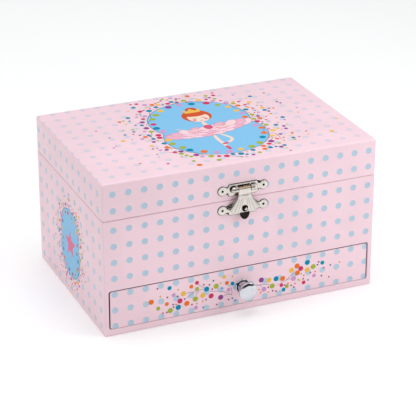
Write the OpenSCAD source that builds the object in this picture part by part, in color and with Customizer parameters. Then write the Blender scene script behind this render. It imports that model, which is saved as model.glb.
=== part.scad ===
// Musical jewellery box with a drawer, a clasped lid and a turning dancer.
// The origin is the centre of the base; X runs to the right, -Y to the front and Z up.

/* [Case] */
// Outside width of the case
case_w = 240; // [220:1:260]
// Outside depth of the case
case_d = 160; // [150:1:180]
// Overall height with the lid closed
case_h = 133; // [126:1:150]
// Height of the lid, from the seam to its top
lid_h = 32; // [28:1:34]
// Thickness of the outer boards
board = 4; // [3:0.5:5]
// Gap between the lid and the case
seam = 0.4; // [0.2:0.1:0.8]
// Radius of the lid's top edges
lid_round = 2; // [1:0.5:3.5]

/* [Drawer] */
// Height of the drawer opening's lower edge
opening_z = 5.8; // [5:0.2:8]
// Height of the drawer opening
opening_h = 34; // [30:1:36]
// Gap at each end of the drawer front
drawer_gap = 1; // [0.6:0.1:1.5]
// Thickness of the drawer's sides and back
drawer_board = 3; // [2:0.5:4]
// Thickness of the drawer's bottom
drawer_floor = 2.4; // [2:0.2:3]
// Diameter of the knob's head
knob_d = 16; // [12:1:20]
// How far the knob stands out
knob_out = 14; // [13:1:20]

/* [Clasp] */
// Distance between the nails of a clasp plate
clasp_nail_span = 36; // [32:1:40]
// Height of the clasp's pivot above the seam
clasp_pivot_up = 9.8; // [9:0.2:11]
// How far the pivot stands out from the front
clasp_pivot_out = 3; // [2.8:0.1:3.4]
// Width of the hasp's neck
hasp_neck_w = 10.6; // [9:0.2:12]
// Width of the hasp's shell
hasp_shell_w = 27.6; // [24:0.4:30]
// Length of the hasp from its pivot
hasp_len = 21; // [19:0.5:23]

/* [Tray] */
// Thickness of the floor under the tray
deck_t = 3; // [2.5:0.5:4]
// Thickness of the tray's dividers
divider_t = 2; // [1.5:0.5:3]
// Height of the dividers above the deck
divider_h = 36; // [28:1:40]
// Depth of the front row of the tray
front_row = 57; // [50:1:60]
// Number of ring rolls
rolls = 5; // [4:1:6]
// Thickness of the lining sheets
lining_t = 0.8; // [0.5:0.1:1.2]

/* [Stage] */
// Width of the stage over the movement
stage_w = 80; // [76:1:90]
// Depth of the stage
stage_d = 60; // [56:1:66]
// Height of the stage's top above the deck
stage_h = 28.5; // [28:0.5:30]
// Thickness of the stage's boards
stage_board = 2; // [1.5:0.5:3]
// Height of the dancer
dancer_h = 43; // [38:1:44]

/* [Movement] */
// Module of the gear teeth
tooth = 1; // [0.9:0.05:1]
// Number of teeth on the crown wheel
crown_teeth = 18; // [16:1:18]
// Number of teeth on the cylinder's wheel
cylinder_teeth = 16; // [15:1:17]
// Number of teeth on the governor's pinion
governor_teeth = 8; // [8:1:9]
// Radius of the pinned cylinder
cylinder_r = 5.2; // [4.8:0.1:5.2]
// Number of notes on the comb
notes = 13; // [10:1:14]
// Radial running clearance of shafts in their bores
running = 0.05; // [0.02:0.01:0.08]

/* [Hidden] */

$fn = 48;
case_top = case_h - lid_h;              // height of the case's rim
lid_z = case_top + seam;                // lower edge of the lid
front_y = -case_d / 2;
back_y = case_d / 2;
inner_w = case_w - 2 * board;
inner_d = case_d - 2 * board;
opening_top = opening_z + opening_h;
deck_z = opening_top + 0.7;             // underside of the deck
floor_z = deck_z + deck_t;              // top of the deck
tray_z = floor_z + lining_t;            // top of the tray's lining
base_t = 3;
runner_w = 10;
key_hole_r = 4;
roll_gap = 0.4;                         // between a roll and its neighbours
roll_up = 14;                           // a roll's axis above the tray
lie = 0.01;                             // sinks a tooth's foot into its disc

drawer_z = opening_z + 0.2;
drawer_h = opening_h - 0.8;
drawer_w = inner_w - 2 * drawer_gap;
drawer_len = inner_d - 6;               // from the case's front to the drawer's back
knob_z = drawer_z + drawer_h / 2;

pivot_y = front_y - clasp_pivot_out;
pivot_z = case_top + clasp_pivot_up;
plate_t = 0.8;
ear_r = 3.8;                            // round ends of a clasp plate
nail_r = 0.6;
nail_len = 3.4;
nail_hole_r = 0.7;
nail_head_r = 1.2;
nail_head_t = 0.5;
nail_up_z = pivot_z - 0.7;              // nails of the clasp's upper plate
nail_low_z = case_top - 7.8;            // nails of the catch plate
rivet_z = pivot_z - 16.7;

hinge_y = back_y + 1.7;
hinge_z = case_top + seam / 2;
hinge_x = case_w * 0.3;
hinge_w = 18;
leaf_len = 11;
leaf_nail_x = 5.5;
leaf_nail_z = 7;
middle_half = 2.9;                      // half length of a hinge's middle knuckle
knuckle_r = 1.6;
hinge_pin_r = 0.75;

divider_y = front_y + board + front_row;
divider_x = -20;
stage_y = back_y - board - stage_d;     // front of the stage
stage_z = floor_z + stage_h;            // top of the stage

bed_t = 2;
bed_y = back_y - board - bed_t;         // front face of the bedplate
barrel_d = 8.5;
barrel_r = 11;
arbor_z = floor_z + barrel_r + 2.2;
arbor_r = 1.5;
crown_r = tooth * crown_teeth / 2;
wheel_r = tooth * cylinder_teeth / 2;
pinion_r = tooth * governor_teeth / 2;
addendum = 0.7 * tooth;
dedendum = 1.1 * tooth;
crown_back = bed_y - barrel_d - 0.4;
crown_disc = 2;
mesh_y = crown_back - crown_disc - dedendum - 0.2;
spindle_y = mesh_y - wheel_r;
wheel_z = arbor_z + crown_r;            // middle of the cylinder's wheel
wheel_t = 2.5;
spindle_r = 1.5;
bush_r = 3;
barrel_wall = 0.8;
fan_x = -(wheel_r + pinion_r);
fan_r = 0.8;
bed_foot = 1.5;
cylinder_z = floor_z + 3;
cylinder_len = notes * 1;
comb_x = cylinder_r + 0.65;
comb_seat_x = comb_x + 13;
rod_x = fan_x - 6;
rod_y = bed_y - 4;
rod_r = 0.9;
turntable_z = stage_z + 0.5;
turntable_t = 2;
spring_h = 5;
dancer_z = turntable_z + turntable_t + spring_h;

// A box given by its lower and upper corners
module block(low, high) { translate(low) cube(high - low); }

// A cylinder along +Y from y0 to y1
module rod_along_y(x, z, r, y0, y1) {
    translate([x, y0, z]) rotate([-90, 0, 0]) cylinder(r = r, h = y1 - y0);
}

// A cylinder along +X from x0 to x1
module rod_along_x(y, z, r, x0, x1) {
    translate([x0, y, z]) rotate([0, 90, 0]) cylinder(r = r, h = x1 - x0);
}

// Cross-section of the lid with its two top corners rounded, width w
module rounded_top(w) {
    r = lid_round;
    union() {
        translate([-w / 2, 0]) square([w, case_h - lid_z - r]);
        translate([-w / 2 + r, 0]) square([w - 2 * r, case_h - lid_z]);
        for (s = [-1, 1]) translate([s * (w / 2 - r), case_h - lid_z - r]) circle(r);
    }
}

// Solid envelope of the closed lid
module lid_envelope() {
    intersection() {
        translate([0, case_d / 2 + 1, lid_z]) rotate([90, 0, 0])
            linear_extrude(height = case_d + 2) rounded_top(case_w);
        translate([-case_w / 2 - 1, 0, lid_z]) rotate([90, 0, 90])
            linear_extrude(height = case_w + 2) rounded_top(case_d);
    }
}

/* Case boards */

module front_panel() color("pink") {
    block([-inner_w / 2, front_y, opening_top], [inner_w / 2, front_y + board, case_top]);
}

module front_rail() color("pink") {
    block([-inner_w / 2, front_y, 0], [inner_w / 2, front_y + board, opening_z]);
}

// One side board, s = -1 for the left and 1 for the right
module side_board(s) {
    x = s * (case_w - board) / 2;
    block([x - board / 2, front_y, 0], [x + board / 2, back_y, case_top]);
}

module left_side() color("pink") side_board(-1);

module right_side() color("pink") side_board(1);

module back_panel() color("pink") difference() {
    block([-inner_w / 2, back_y - board, 0], [inner_w / 2, back_y, case_top]);
    rod_along_y(0, arbor_z, key_hole_r, back_y - board - 1, back_y + 1);
}

module bottom_panel() color("tan") {
    block([-inner_w / 2, front_y + board, 0], [inner_w / 2, back_y - board, base_t]);
}

module drawer_runners() color("tan") for (s = [-1, 1]) {
    x = s * (inner_w - runner_w) / 2;
    block([x - runner_w / 2, front_y + board, base_t], [x + runner_w / 2, back_y - board, opening_z]);
}

module deck() color("tan") {
    block([-inner_w / 2, front_y + board, deck_z], [inner_w / 2, back_y - board, floor_z]);
}

/* Tray */

module tray_lining() color("lavenderblush") difference() {
    block([-inner_w / 2, front_y + board, floor_z], [inner_w / 2, back_y - board, tray_z]);
    block([-stage_w / 2, stage_y, floor_z - 1], [stage_w / 2, back_y, tray_z + 1]);
}

module tray_dividers() color("mistyrose") union() {
    block([-inner_w / 2, divider_y, tray_z], [inner_w / 2, divider_y + divider_t, floor_z + divider_h]);
    block([divider_x, front_y + board, tray_z],
        [divider_x + divider_t, divider_y, floor_z + divider_h]);
}

// Padded rolls that hold rings between them
module ring_rolls() color("lightpink") {
    pitch = front_row / rolls;
    r = (pitch - roll_gap) / 2;
    x = -inner_w / 2 + roll_gap;
    for (i = [0 : rolls - 1]) {
        y = front_y + board + pitch * (i + 0.5);
        translate([x, y, tray_z + roll_up]) rotate([0, 90, 0])
            cylinder(r = r, h = divider_x - roll_gap - x);
        block([x, y - r, tray_z], [divider_x - roll_gap, y + r, tray_z + roll_up]);
    }
}

/* Stage over the movement */

module stage_top() color("mistyrose") difference() {
    block([-stage_w / 2, stage_y, stage_z - stage_board], [stage_w / 2, back_y - board, stage_z]);
    translate([0, spindle_y, stage_z - stage_board - 1]) cylinder(r = bush_r, h = stage_board + 2);
    translate([rod_x, rod_y, stage_z - stage_board - 1]) cylinder(r = rod_r + 0.3, h = stage_board + 2);
}

module stage_walls() color("mistyrose") {
    top = stage_z - stage_board;
    block([-stage_w / 2, stage_y, floor_z], [stage_w / 2, stage_y + stage_board, top]);
    for (s = [-1, 1]) {
        x = s * (stage_w - stage_board) / 2;
        block([x - stage_board / 2, stage_y + stage_board, floor_z],
            [x + stage_board / 2, back_y - board, top]);
    }
}

module spindle_bush() color("gold") difference() {
    union() {
        translate([0, spindle_y, stage_z - stage_board]) cylinder(r = bush_r, h = stage_board);
        translate([0, spindle_y, stage_z - stage_board - 0.6]) cylinder(r = 4.2, h = 0.6);
    }
    translate([0, spindle_y, stage_z - 5]) cylinder(r = spindle_r + running, h = 10);
}

/* Musical movement */

// Outline of a spur gear with straight-sided teeth, a tooth on +X
function gear_outline(teeth, root_half, tip_half) = let (
        r = tooth * teeth / 2,
        corners = [[r - dedendum, -root_half], [r + addendum, -tip_half],
            [r + addendum, tip_half], [r - dedendum, root_half]])
    [for (i = [0 : teeth - 1], c = corners)
        let (half = atan(c[1] * tooth / c[0]), a = i * 360 / teeth + half)
            c[0] * [cos(a), sin(a)]];

// A spur gear standing on z = 0, turned by turn degrees
module gear(teeth, thick, turn) {
    linear_extrude(height = thick) rotate(turn) polygon(gear_outline(teeth, 0.62, 0.3));
}

module bedplate() color("silver") difference() {
    union() {
        block([-30, bed_y, floor_z + 0.5], [32, bed_y + bed_t, stage_z - stage_board - 1]);
        block([-5, spindle_y - 4, floor_z + 0.5], [5, bed_y, floor_z + 0.5 + bed_foot]);
        block([comb_seat_x, spindle_y + 0.5, cylinder_z - 0.5], [32, bed_y, cylinder_z + cylinder_len + 0.5]);
    }
    translate([0, spindle_y, floor_z]) cylinder(r = spindle_r + running, h = 4);
    rod_along_y(0, arbor_z, arbor_r + running, bed_y - 1, bed_y + 4);
    for (z = comb_screw_heights) rod_along_y(comb_seat_x + 6, z, 1.2, spindle_y, spindle_y + 8);
    for (p = bed_screw_places) rod_along_y(p[0], p[1], 1.3, bed_y - 1, bed_y + 4);
}
comb_screw_heights = [cylinder_z + 3, cylinder_z + cylinder_len - 3];
bed_screw_places = [[-27.2, floor_z + 4], [-27.2, floor_z + 22], [28, floor_z + 20.5]];

module bedplate_screws() color("dimgray") for (p = bed_screw_places) {
    rod_along_y(p[0], p[1], 2.4, bed_y - 1.2, bed_y);
    rod_along_y(p[0], p[1], 1.2, bed_y, bed_y + bed_t + board - 0.6);
}

module spring_barrel() color("goldenrod") difference() {
    rod_along_y(0, arbor_z, barrel_r, bed_y - barrel_d, bed_y);
    rod_along_y(0, arbor_z, barrel_r - barrel_wall, bed_y - barrel_d + barrel_wall, bed_y + 1);
    rod_along_y(0, arbor_z, arbor_r + running, bed_y - barrel_d - 1, bed_y);
}

spring_steps = 6 * 24;                  // six turns of 24 steps
spring_t = 0.35;
function spring_radius(i) = arbor_r + 0.3
    + (barrel_r - arbor_r - spring_t - 1.15) * i / spring_steps;
function spring_point(i, extra) = (spring_radius(i) + extra) * [cos(i * 15), sin(i * 15)];

// Spiral strip between the arbor and the barrel's wall
module mainspring() color("steelblue") {
    translate([0, bed_y - 0.4, arbor_z]) rotate([90, 0, 0]) linear_extrude(height = barrel_d - 1.6)
        polygon(concat([for (i = [0 : spring_steps]) spring_point(i, 0)],
            [for (i = [spring_steps : -1 : 0]) spring_point(i, spring_t)]));
}

module comb() color("lightsteelblue") difference() {
    union() {
        block([comb_seat_x - 1, spindle_y - 0.5, cylinder_z],
            [comb_seat_x + 11, spindle_y + 0.5, cylinder_z + cylinder_len]);
        for (i = [0 : notes - 1]) {
            z = cylinder_z + i + 0.12;
            block([comb_x, spindle_y - 0.3, z], [comb_seat_x, spindle_y + 0.3, z + 0.76]);
        }
    }
    for (z = comb_screw_heights) rod_along_y(comb_seat_x + 6, z, 1.3, spindle_y - 2, spindle_y + 2);
}

module comb_screws() color("gold") for (z = comb_screw_heights) {
    rod_along_y(comb_seat_x + 6, z, 2.2, spindle_y - 1.7, spindle_y - 0.5);
    rod_along_y(comb_seat_x + 6, z, 1.15, spindle_y - 0.5, spindle_y + 7);
}

module governor_bracket() color("silver") difference() {
    z0 = floor_z + 0.5;
    z1 = wheel_z + wheel_t / 2 + 0.4;
    union() {
        block([fan_x - 11, spindle_y - 3, z0], [fan_x + 2.5, spindle_y + 3, z0 + 1.2]);
        block([fan_x - 11, spindle_y - 3, z1], [fan_x + 2.5, spindle_y + 3, z1 + 1.2]);
        block([fan_x - 12, spindle_y - 3, z0], [fan_x - 11, bed_y, z1 + 1.2]);
    }
    translate([fan_x, spindle_y, z0 - 1]) cylinder(r = fan_r + running, h = z1 - z0 + 4);
}

module governor_fan() color("orange") {
    z0 = floor_z + 0.6;
    z1 = wheel_z + wheel_t / 2 + 1.5;
    translate([fan_x, spindle_y, 0]) {
        translate([0, 0, z0]) cylinder(r = fan_r, h = z1 - z0);
        translate([0, 0, wheel_z - wheel_t / 2 + 0.2])
            gear(governor_teeth, wheel_t - 0.4, 0);
        translate([0, 0, floor_z + 14]) cylinder(r = 3.6, h = 0.8);
        translate([0, 0, floor_z + 4]) cylinder(r = 1.4, h = 9);
        for (a = [0, 180]) rotate(a) block([1, -0.25, floor_z + 4], [5.4, 0.25, floor_z + 13]);
    }
}

module winding_arbor() color("silver") union() {
    rod_along_y(0, arbor_z, arbor_r, crown_back - crown_disc - 0.6, back_y + 2);
    rod_along_y(0, arbor_z, 1.2, back_y + 2, back_y + 10);
}

module crown_wheel() color("gold") union() {
    difference() {
        rod_along_y(0, arbor_z, crown_r + 1, crown_back - crown_disc, crown_back);
        rod_along_y(0, arbor_z, arbor_r, crown_back - crown_disc - 1, crown_back + 1);
    }
    half = 0.6 * tooth;
    for (i = [0 : crown_teeth - 1])
        translate([0, crown_back - crown_disc, arbor_z]) rotate([0, i * 360 / crown_teeth, 0])
            translate([0, 0, crown_r - 1]) linear_extrude(height = 2)
                polygon([[-half, lie], [-half, -0.2], [-half / 2, -dedendum - addendum],
                    [half / 2, -dedendum - addendum], [half, -0.2], [half, lie]]);
}

module winding_key() color("goldenrod") difference() {
    union() {
        rod_along_y(0, arbor_z, 3, back_y + 2, back_y + 12);
        block([-9, back_y + 9, arbor_z - 1.1], [9, back_y + 19, arbor_z + 1.1]);
    }
    rod_along_y(0, arbor_z, 1.2 + running, back_y + 1, back_y + 10);
    for (s = [-1, 1]) translate([s * 5.2, back_y + 14.5, arbor_z - 3]) cylinder(r = 2.4, h = 6);
}

module pin_cylinder() color("khaki") translate([0, spindle_y, 0]) difference() {
    union() {
        translate([0, 0, cylinder_z]) cylinder(r = cylinder_r, h = cylinder_len);
        translate([0, 0, cylinder_z + cylinder_len]) cylinder(r = 3, h = wheel_z - cylinder_z - cylinder_len);
        translate([0, 0, wheel_z - wheel_t / 2]) gear(cylinder_teeth, wheel_t, wheel_turn);
        for (row = [0 : notes - 1], k = [0 : 3])
            translate([0, 0, cylinder_z + row + 0.5]) rotate(row * 47 + k * (83 + row * 2))
                block([cylinder_r - 0.4, -0.15, -0.15], [cylinder_r + 0.4, 0.15, 0.15]);
    }
    translate([0, 0, cylinder_z - 1]) cylinder(r = spindle_r, h = 30);
}
wheel_turn = 90 + 180 / cylinder_teeth;

module spindle() color("silver") translate([0, spindle_y, 0]) {
    translate([0, 0, floor_z + 0.6]) cylinder(r = spindle_r, h = turntable_z - floor_z - 0.6);
}

module stop_rod() color("silver") union() {
    z0 = floor_z + 15.2;
    translate([rod_x, rod_y, z0]) cylinder(r = rod_r, h = lid_z + 0.4 - z0);
    block([rod_x - 0.9, spindle_y - 1, z0], [rod_x + 0.9, rod_y, z0 + 1]);
    block([rod_x - 0.9, spindle_y - 1, z0], [fan_x - fan_r - 0.6, spindle_y + 1, z0 + 1]);
}

/* Dancer */

module turntable() color("white") translate([0, spindle_y, turntable_z]) {
    cylinder(r = 12, h = turntable_t);
}

module dancer_spring() color("silver") translate([0, spindle_y, turntable_z + turntable_t]) difference() {
    cylinder(r = 2.2, h = spring_h);
    translate([0, 0, -1]) cylinder(r = 1.5, h = spring_h + 2);
}

// The dancer on one leg with the arms raised
module dancer() color("bisque") translate([0, spindle_y, dancer_z]) {
    k = dancer_h / 43;
    scale(k) union() {
        cylinder(r = 2.6, h = 1.4);
        translate([0, 0, 1]) cylinder(r1 = 0.8, r2 = 1.7, h = 16);
        translate([0, 0, 16]) sphere(2.2);
        translate([0, 0, 15]) cylinder(r1 = 1.8, r2 = 2.6, h = 12);
        translate([0, 0, 27]) cylinder(r = 0.9, h = 4);
        translate([0, 0, 33]) sphere(3);
        translate([0, 0, 35.8]) sphere(1.6);
        for (s = [-1, 1]) {
            translate([s * 2.4, 0, 26.4]) rotate([0, s * 38, 0]) cylinder(r = 0.7, h = 8);
            translate([s * 7.3, 0, 32.7]) rotate([0, -s * 32, 0]) cylinder(r = 0.7, h = 11.5);
            translate([s * 7.3, 0, 32.7]) sphere(0.9);
        }
        translate([0.8, 0, 16]) rotate([0, 118, 0]) cylinder(r1 = 1.6, r2 = 0.9, h = 8);
        translate([7.9, 0, 12.2]) rotate([0, 245, 0]) cylinder(r1 = 0.9, r2 = 0.8, h = 6.5);
    }
}

module tutu() color("pink") translate([0, spindle_y, dancer_z + 19 * dancer_h / 43]) difference() {
    cylinder(r1 = 12.5, r2 = 4.5, h = 3.4);
    translate([0, 0, -1]) cylinder(r = 2.9, h = 6);
}

/* Lid */

module lid_top() color("pink") intersection() {
    lid_envelope();
    block([-case_w, -case_d, case_h - board], [case_w, case_d, case_h]);
}

// Lid wall between two corners, trimmed to the lid's outline
module lid_wall(low, high) intersection() {
    lid_envelope();
    block([low[0], low[1], lid_z], [high[0], high[1], case_h - board]);
}

module lid_front() color("pink") lid_wall([-inner_w / 2, front_y], [inner_w / 2, front_y + board]);

module lid_back() color("pink") lid_wall([-inner_w / 2, back_y - board], [inner_w / 2, back_y]);

module lid_left() color("pink") lid_wall([-case_w / 2, front_y], [-inner_w / 2, back_y]);

module lid_right() color("pink") lid_wall([inner_w / 2, front_y], [case_w / 2, back_y]);

module lid_lining() color("lavenderblush") {
    z = case_h - board;
    block([-inner_w / 2, front_y + board, z - lining_t], [inner_w / 2, back_y - board, z]);
}

module mirror() color("lightcyan") {
    z = case_h - board - lining_t;
    block([-65, -42, z - 1.5], [65, 42, z]);
}

// Small block that presses the stop rod down when the lid is shut
module lid_striker() color("tan") {
    block([rod_x - 5, rod_y - 4, lid_z + 0.6], [rod_x + 5, back_y - board, lid_z + 6]);
}

/* Lid hinges */

// Two leaves, dir = -1 down on the case and 1 up on the lid; own = x spans of its knuckles
module hinge_leaves(dir, own, other) for (s = [-1, 1]) translate([s * hinge_x, 0, 0]) difference() {
    union() {
        block([-hinge_w / 2, back_y, min(hinge_z, hinge_z + dir * leaf_len)],
            [hinge_w / 2, back_y + plate_t, max(hinge_z, hinge_z + dir * leaf_len)]);
        for (k = own) rod_along_x(hinge_y, hinge_z, knuckle_r, k[0], k[1]);
    }
    for (k = other) rod_along_x(hinge_y, hinge_z, knuckle_r + 0.15, k[0] - 0.1, k[1] + 0.1);
    rod_along_x(hinge_y, hinge_z, hinge_pin_r + running, -hinge_w, hinge_w);
    for (x = [-1, 1] * leaf_nail_x)
        rod_along_y(x, hinge_z + dir * leaf_nail_z, nail_hole_r, back_y - 1, back_y + 2);
}
outer_knuckles = [[-hinge_w / 2, -middle_half - 0.1], [middle_half + 0.1, hinge_w / 2]];
middle_knuckle = [[-middle_half, middle_half]];

module body_hinge_leaves() color("silver") hinge_leaves(-1, outer_knuckles, middle_knuckle);

module lid_hinge_leaves() color("silver") hinge_leaves(1, middle_knuckle, outer_knuckles);

module hinge_pins() color("gray") for (s = [-1, 1])
    rod_along_x(hinge_y, hinge_z, hinge_pin_r, s * hinge_x - hinge_w / 2, s * hinge_x + hinge_w / 2);

// A nail pointing into the box along +Y (dir 1) or -Y (dir -1) from the face y
module nail(x, y, z, dir) {
    rod_along_y(x, z, nail_r, min(y, y + dir * nail_len), max(y, y + dir * nail_len));
    rod_along_y(x, z, nail_head_r, min(y, y - dir * nail_head_t), max(y, y - dir * nail_head_t));
}

module hinge_nails(dir) for (s = [-1, 1], x = [-1, 1] * leaf_nail_x)
    nail(s * hinge_x + x, back_y + plate_t, hinge_z + dir * leaf_nail_z, -1);

module body_hinge_nails() color("silver") hinge_nails(-1);

module lid_hinge_nails() color("silver") hinge_nails(1);

/* Clasp */

// Flat plate with two round ears, centred on the nails, and a middle from z0 to z1
module eared_plate(nail_z, z0, z1, middle_w) {
    x = clasp_nail_span / 2;
    difference() {
        translate([0, front_y, 0]) rotate([90, 0, 0]) linear_extrude(height = plate_t) {
            for (s = [-1, 1]) translate([s * x, nail_z]) circle(ear_r);
            translate([-x, nail_z - 2.4]) square([2 * x, 4.8]);
            translate([-middle_w / 2 + 2, z0]) square([middle_w - 4, z1 - z0]);
            translate([-middle_w / 2, z0 + 2]) square([middle_w, z1 - z0 - 4]);
            for (s = [-1, 1], z = [z0 + 2, z1 - 2]) translate([s * (middle_w / 2 - 2), z]) circle(2);
        }
        for (s = [-1, 1]) rod_along_y(s * x, nail_z, nail_hole_r, front_y - 2, front_y + 1);
    }
}

module clasp_plate() color("gainsboro") difference() {
    union() {
        eared_plate(nail_up_z, lid_z + 3.4, lid_z + 13.4, 26);
        for (s = [-1, 1]) {
            x0 = s > 0 ? 5.6 : -9;
            rod_along_x(pivot_y, pivot_z, 2.2, x0, x0 + 3.4);
            translate([s * 9, pivot_y, pivot_z]) sphere(2.2);
            block([min(s * 5.6, s * 9), pivot_y, pivot_z - 1.8],
                [max(s * 5.6, s * 9), front_y - plate_t, pivot_z + 1.8]);
        }
    }
    rod_along_x(pivot_y, pivot_z, hinge_pin_r + running, -9.5, 9.5);
}

module clasp_pin() color("gold") rod_along_x(pivot_y, pivot_z, hinge_pin_r, -9.3, 9.3);

// Outline of the hasp: a neck that flares into a shell with an arched lower edge
function hasp_half(t) = hasp_neck_w / 2 + (hasp_shell_w - hasp_neck_w) / 2 * pow(max(0, t - 0.3) / 0.7, 1.25);
function hasp_side() = [for (i = [0 : 14]) let (t = i / 14) [hasp_half(t), -t * (hasp_len - 4.5)]];
function hasp_edge() = [for (i = [1 : 11]) let (a = 90 * i / 12)
    [hasp_shell_w / 2 * cos(a), -(hasp_len - 4.5) - 4.5 * sin(a)]];
function mirrored(points) = [for (i = [len(points) - 1 : -1 : 0]) [-points[i][0], points[i][1]]];

module hasp() color("gainsboro") difference() {
    outline = concat(hasp_side(), hasp_edge(), [[0, -hasp_len]]);
    union() {
        translate([0, pivot_y - 0.4, pivot_z]) rotate([90, 0, 0]) linear_extrude(height = 1)
            polygon(concat(outline, mirrored(concat(hasp_side(), hasp_edge()))));
        rod_along_x(pivot_y, pivot_z, 1.6, -hasp_neck_w / 2, hasp_neck_w / 2);
        intersection() {
            rod_along_y(0, pivot_z - hasp_len - 1.2, 4.1, pivot_y - 2.2, pivot_y - 0.4);
            block([-5, pivot_y - 3, pivot_z - 30], [5, pivot_y, pivot_z - hasp_len + 0.6]);
        }
    }
    rod_along_x(pivot_y, pivot_z, hinge_pin_r + running, -20, 20);
    rod_along_y(0, rivet_z, 1.2, pivot_y - 5, pivot_y + 2);
}

module hasp_rivet() color("gainsboro") union() {
    rod_along_y(0, rivet_z, 2.6, pivot_y - 2.1, pivot_y - 1.4);
    rod_along_y(0, rivet_z, 1.9, pivot_y - 2.9, pivot_y - 2.1);
    rod_along_y(0, rivet_z, 1.2, pivot_y - 1.4, pivot_y - 0.4);
    rod_along_y(0, rivet_z, 1.6, pivot_y - 0.4, pivot_y + 1.6);
}

// Plate on the case, with two spring fingers that grip the rivet's tail
module catch_plate() color("gainsboro") union() {
    eared_plate(nail_low_z, case_top - 12.8, case_top - 3.6, 25);
    for (s = [-1, 1]) {
        x = s * 2.3;
        block([x - 0.4, front_y - plate_t - 1.6, rivet_z - 2], [x + 0.4, front_y - plate_t, rivet_z + 2]);
    }
}

module clasp_nails() color("gray") for (s = [-1, 1])
    nail(s * clasp_nail_span / 2, front_y - plate_t, nail_up_z, 1);

module catch_nails() color("gray") for (s = [-1, 1])
    nail(s * clasp_nail_span / 2, front_y - plate_t, nail_low_z, 1);

/* Drawer */

module drawer_front() color("pink") difference() {
    block([-drawer_w / 2, front_y, drawer_z], [drawer_w / 2, front_y + board, drawer_z + drawer_h]);
    rod_along_y(0, knob_z, 1.6, front_y - 1, front_y + board + 1);
}

module drawer_sides() color("mistyrose") for (s = [-1, 1]) {
    x = s * (drawer_w - drawer_board) / 2;
    block([x - drawer_board / 2, front_y + board, drawer_z],
        [x + drawer_board / 2, front_y + board + drawer_len, drawer_z + drawer_h - 2]);
}

module drawer_back() color("mistyrose") {
    w = drawer_w / 2 - drawer_board;
    y = front_y + board + drawer_len;
    block([-w, y - drawer_board, drawer_z], [w, y, drawer_z + drawer_h - 2]);
}

module drawer_bottom() color("tan") {
    w = drawer_w / 2 - drawer_board;
    y = front_y + board;
    block([-w, y, drawer_z], [w, y + drawer_len - drawer_board, drawer_z + drawer_floor]);
}

module drawer_lining() color("lavenderblush") {
    w = drawer_w / 2 - drawer_board;
    y = front_y + board;
    z = drawer_z + drawer_floor;
    block([-w, y, z], [w, y + drawer_len - drawer_board, z + lining_t]);
}

// Turned knob: foot, waist and a flat-faced head
module knob() color("silver") translate([0, front_y, knob_z]) rotate([90, 0, 0]) difference() {
    rotate_extrude() polygon([[0, 0], [6, 0], [6, 1.4], [5.1, 2.4], [4.7, 4], [4.7, 6], [5.4, 7.6],
        [knob_d / 2 - 0.7, knob_out - 4.4], [knob_d / 2, knob_out - 3.4], [knob_d / 2, knob_out - 1.5],
        [knob_d / 2 - 1, knob_out - 0.4], [0, knob_out]]);
    translate([0, 0, -1]) cylinder(r = 1.55, h = 9);
}

module knob_screw() color("dimgray") union() {
    rod_along_y(0, knob_z, 1.5, front_y - 7.5, front_y + board);
    rod_along_y(0, knob_z, 3, front_y + board, front_y + board + 1.6);
}

front_panel();
front_rail();
left_side();
right_side();
back_panel();
bottom_panel();
drawer_runners();
deck();
tray_lining();
tray_dividers();
ring_rolls();
stage_top();
stage_walls();
spindle_bush();
bedplate();
bedplate_screws();
spring_barrel();
mainspring();
comb();
comb_screws();
governor_bracket();
body_hinge_leaves();
hinge_pins();
body_hinge_nails();
catch_plate();
catch_nails();
lid_top();
lid_front();
lid_back();
lid_left();
lid_right();
lid_lining();
mirror();
lid_striker();
lid_hinge_leaves();
lid_hinge_nails();
clasp_plate();
clasp_pin();
clasp_nails();
hasp();
hasp_rivet();
drawer_front();
drawer_sides();
drawer_back();
drawer_bottom();
drawer_lining();
knob();
knob_screw();
winding_key();
winding_arbor();
crown_wheel();
pin_cylinder();
spindle();
turntable();
dancer_spring();
dancer();
tutu();
governor_fan();
stop_rod();
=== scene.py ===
"""Musical jewellery box: its paper covering, prints, clasp, drawer, tray, mirror and turning dancer."""

import math

import bmesh
import bpy
import numpy as np
from bpy.props import FloatProperty, FloatVectorProperty, IntProperty, PointerProperty
from mathutils import Matrix, Vector


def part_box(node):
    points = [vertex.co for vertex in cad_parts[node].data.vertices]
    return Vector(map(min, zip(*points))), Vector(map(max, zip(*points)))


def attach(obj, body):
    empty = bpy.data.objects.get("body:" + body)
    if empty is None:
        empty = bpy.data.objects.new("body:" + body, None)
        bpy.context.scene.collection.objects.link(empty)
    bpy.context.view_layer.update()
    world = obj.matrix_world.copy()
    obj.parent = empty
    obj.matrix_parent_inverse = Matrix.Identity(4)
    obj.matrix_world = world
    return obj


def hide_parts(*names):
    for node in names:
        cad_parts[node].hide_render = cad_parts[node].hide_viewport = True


bl_info = {
    "name": "Musical Jewellery Box",
    "version": (1, 0, 0),
    "blender": (4, 5, 0),
    "location": "3D View > Sidebar > Jewellery Box",
    "description": "Builds the coverings, prints, fittings and dancer of a musical jewellery box",
    "category": "Add Mesh",
}

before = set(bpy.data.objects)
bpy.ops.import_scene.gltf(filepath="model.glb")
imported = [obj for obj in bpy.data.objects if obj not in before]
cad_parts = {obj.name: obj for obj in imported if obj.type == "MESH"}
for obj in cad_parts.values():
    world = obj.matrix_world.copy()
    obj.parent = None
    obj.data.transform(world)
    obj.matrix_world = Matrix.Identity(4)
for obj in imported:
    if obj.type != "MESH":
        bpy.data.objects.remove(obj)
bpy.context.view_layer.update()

MM = 0.001


def corners(node):
    """Lowest and highest corner of a CAD node, in millimetres."""
    low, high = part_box(node)
    return np.array(low) / MM, np.array(high) / MM


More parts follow.
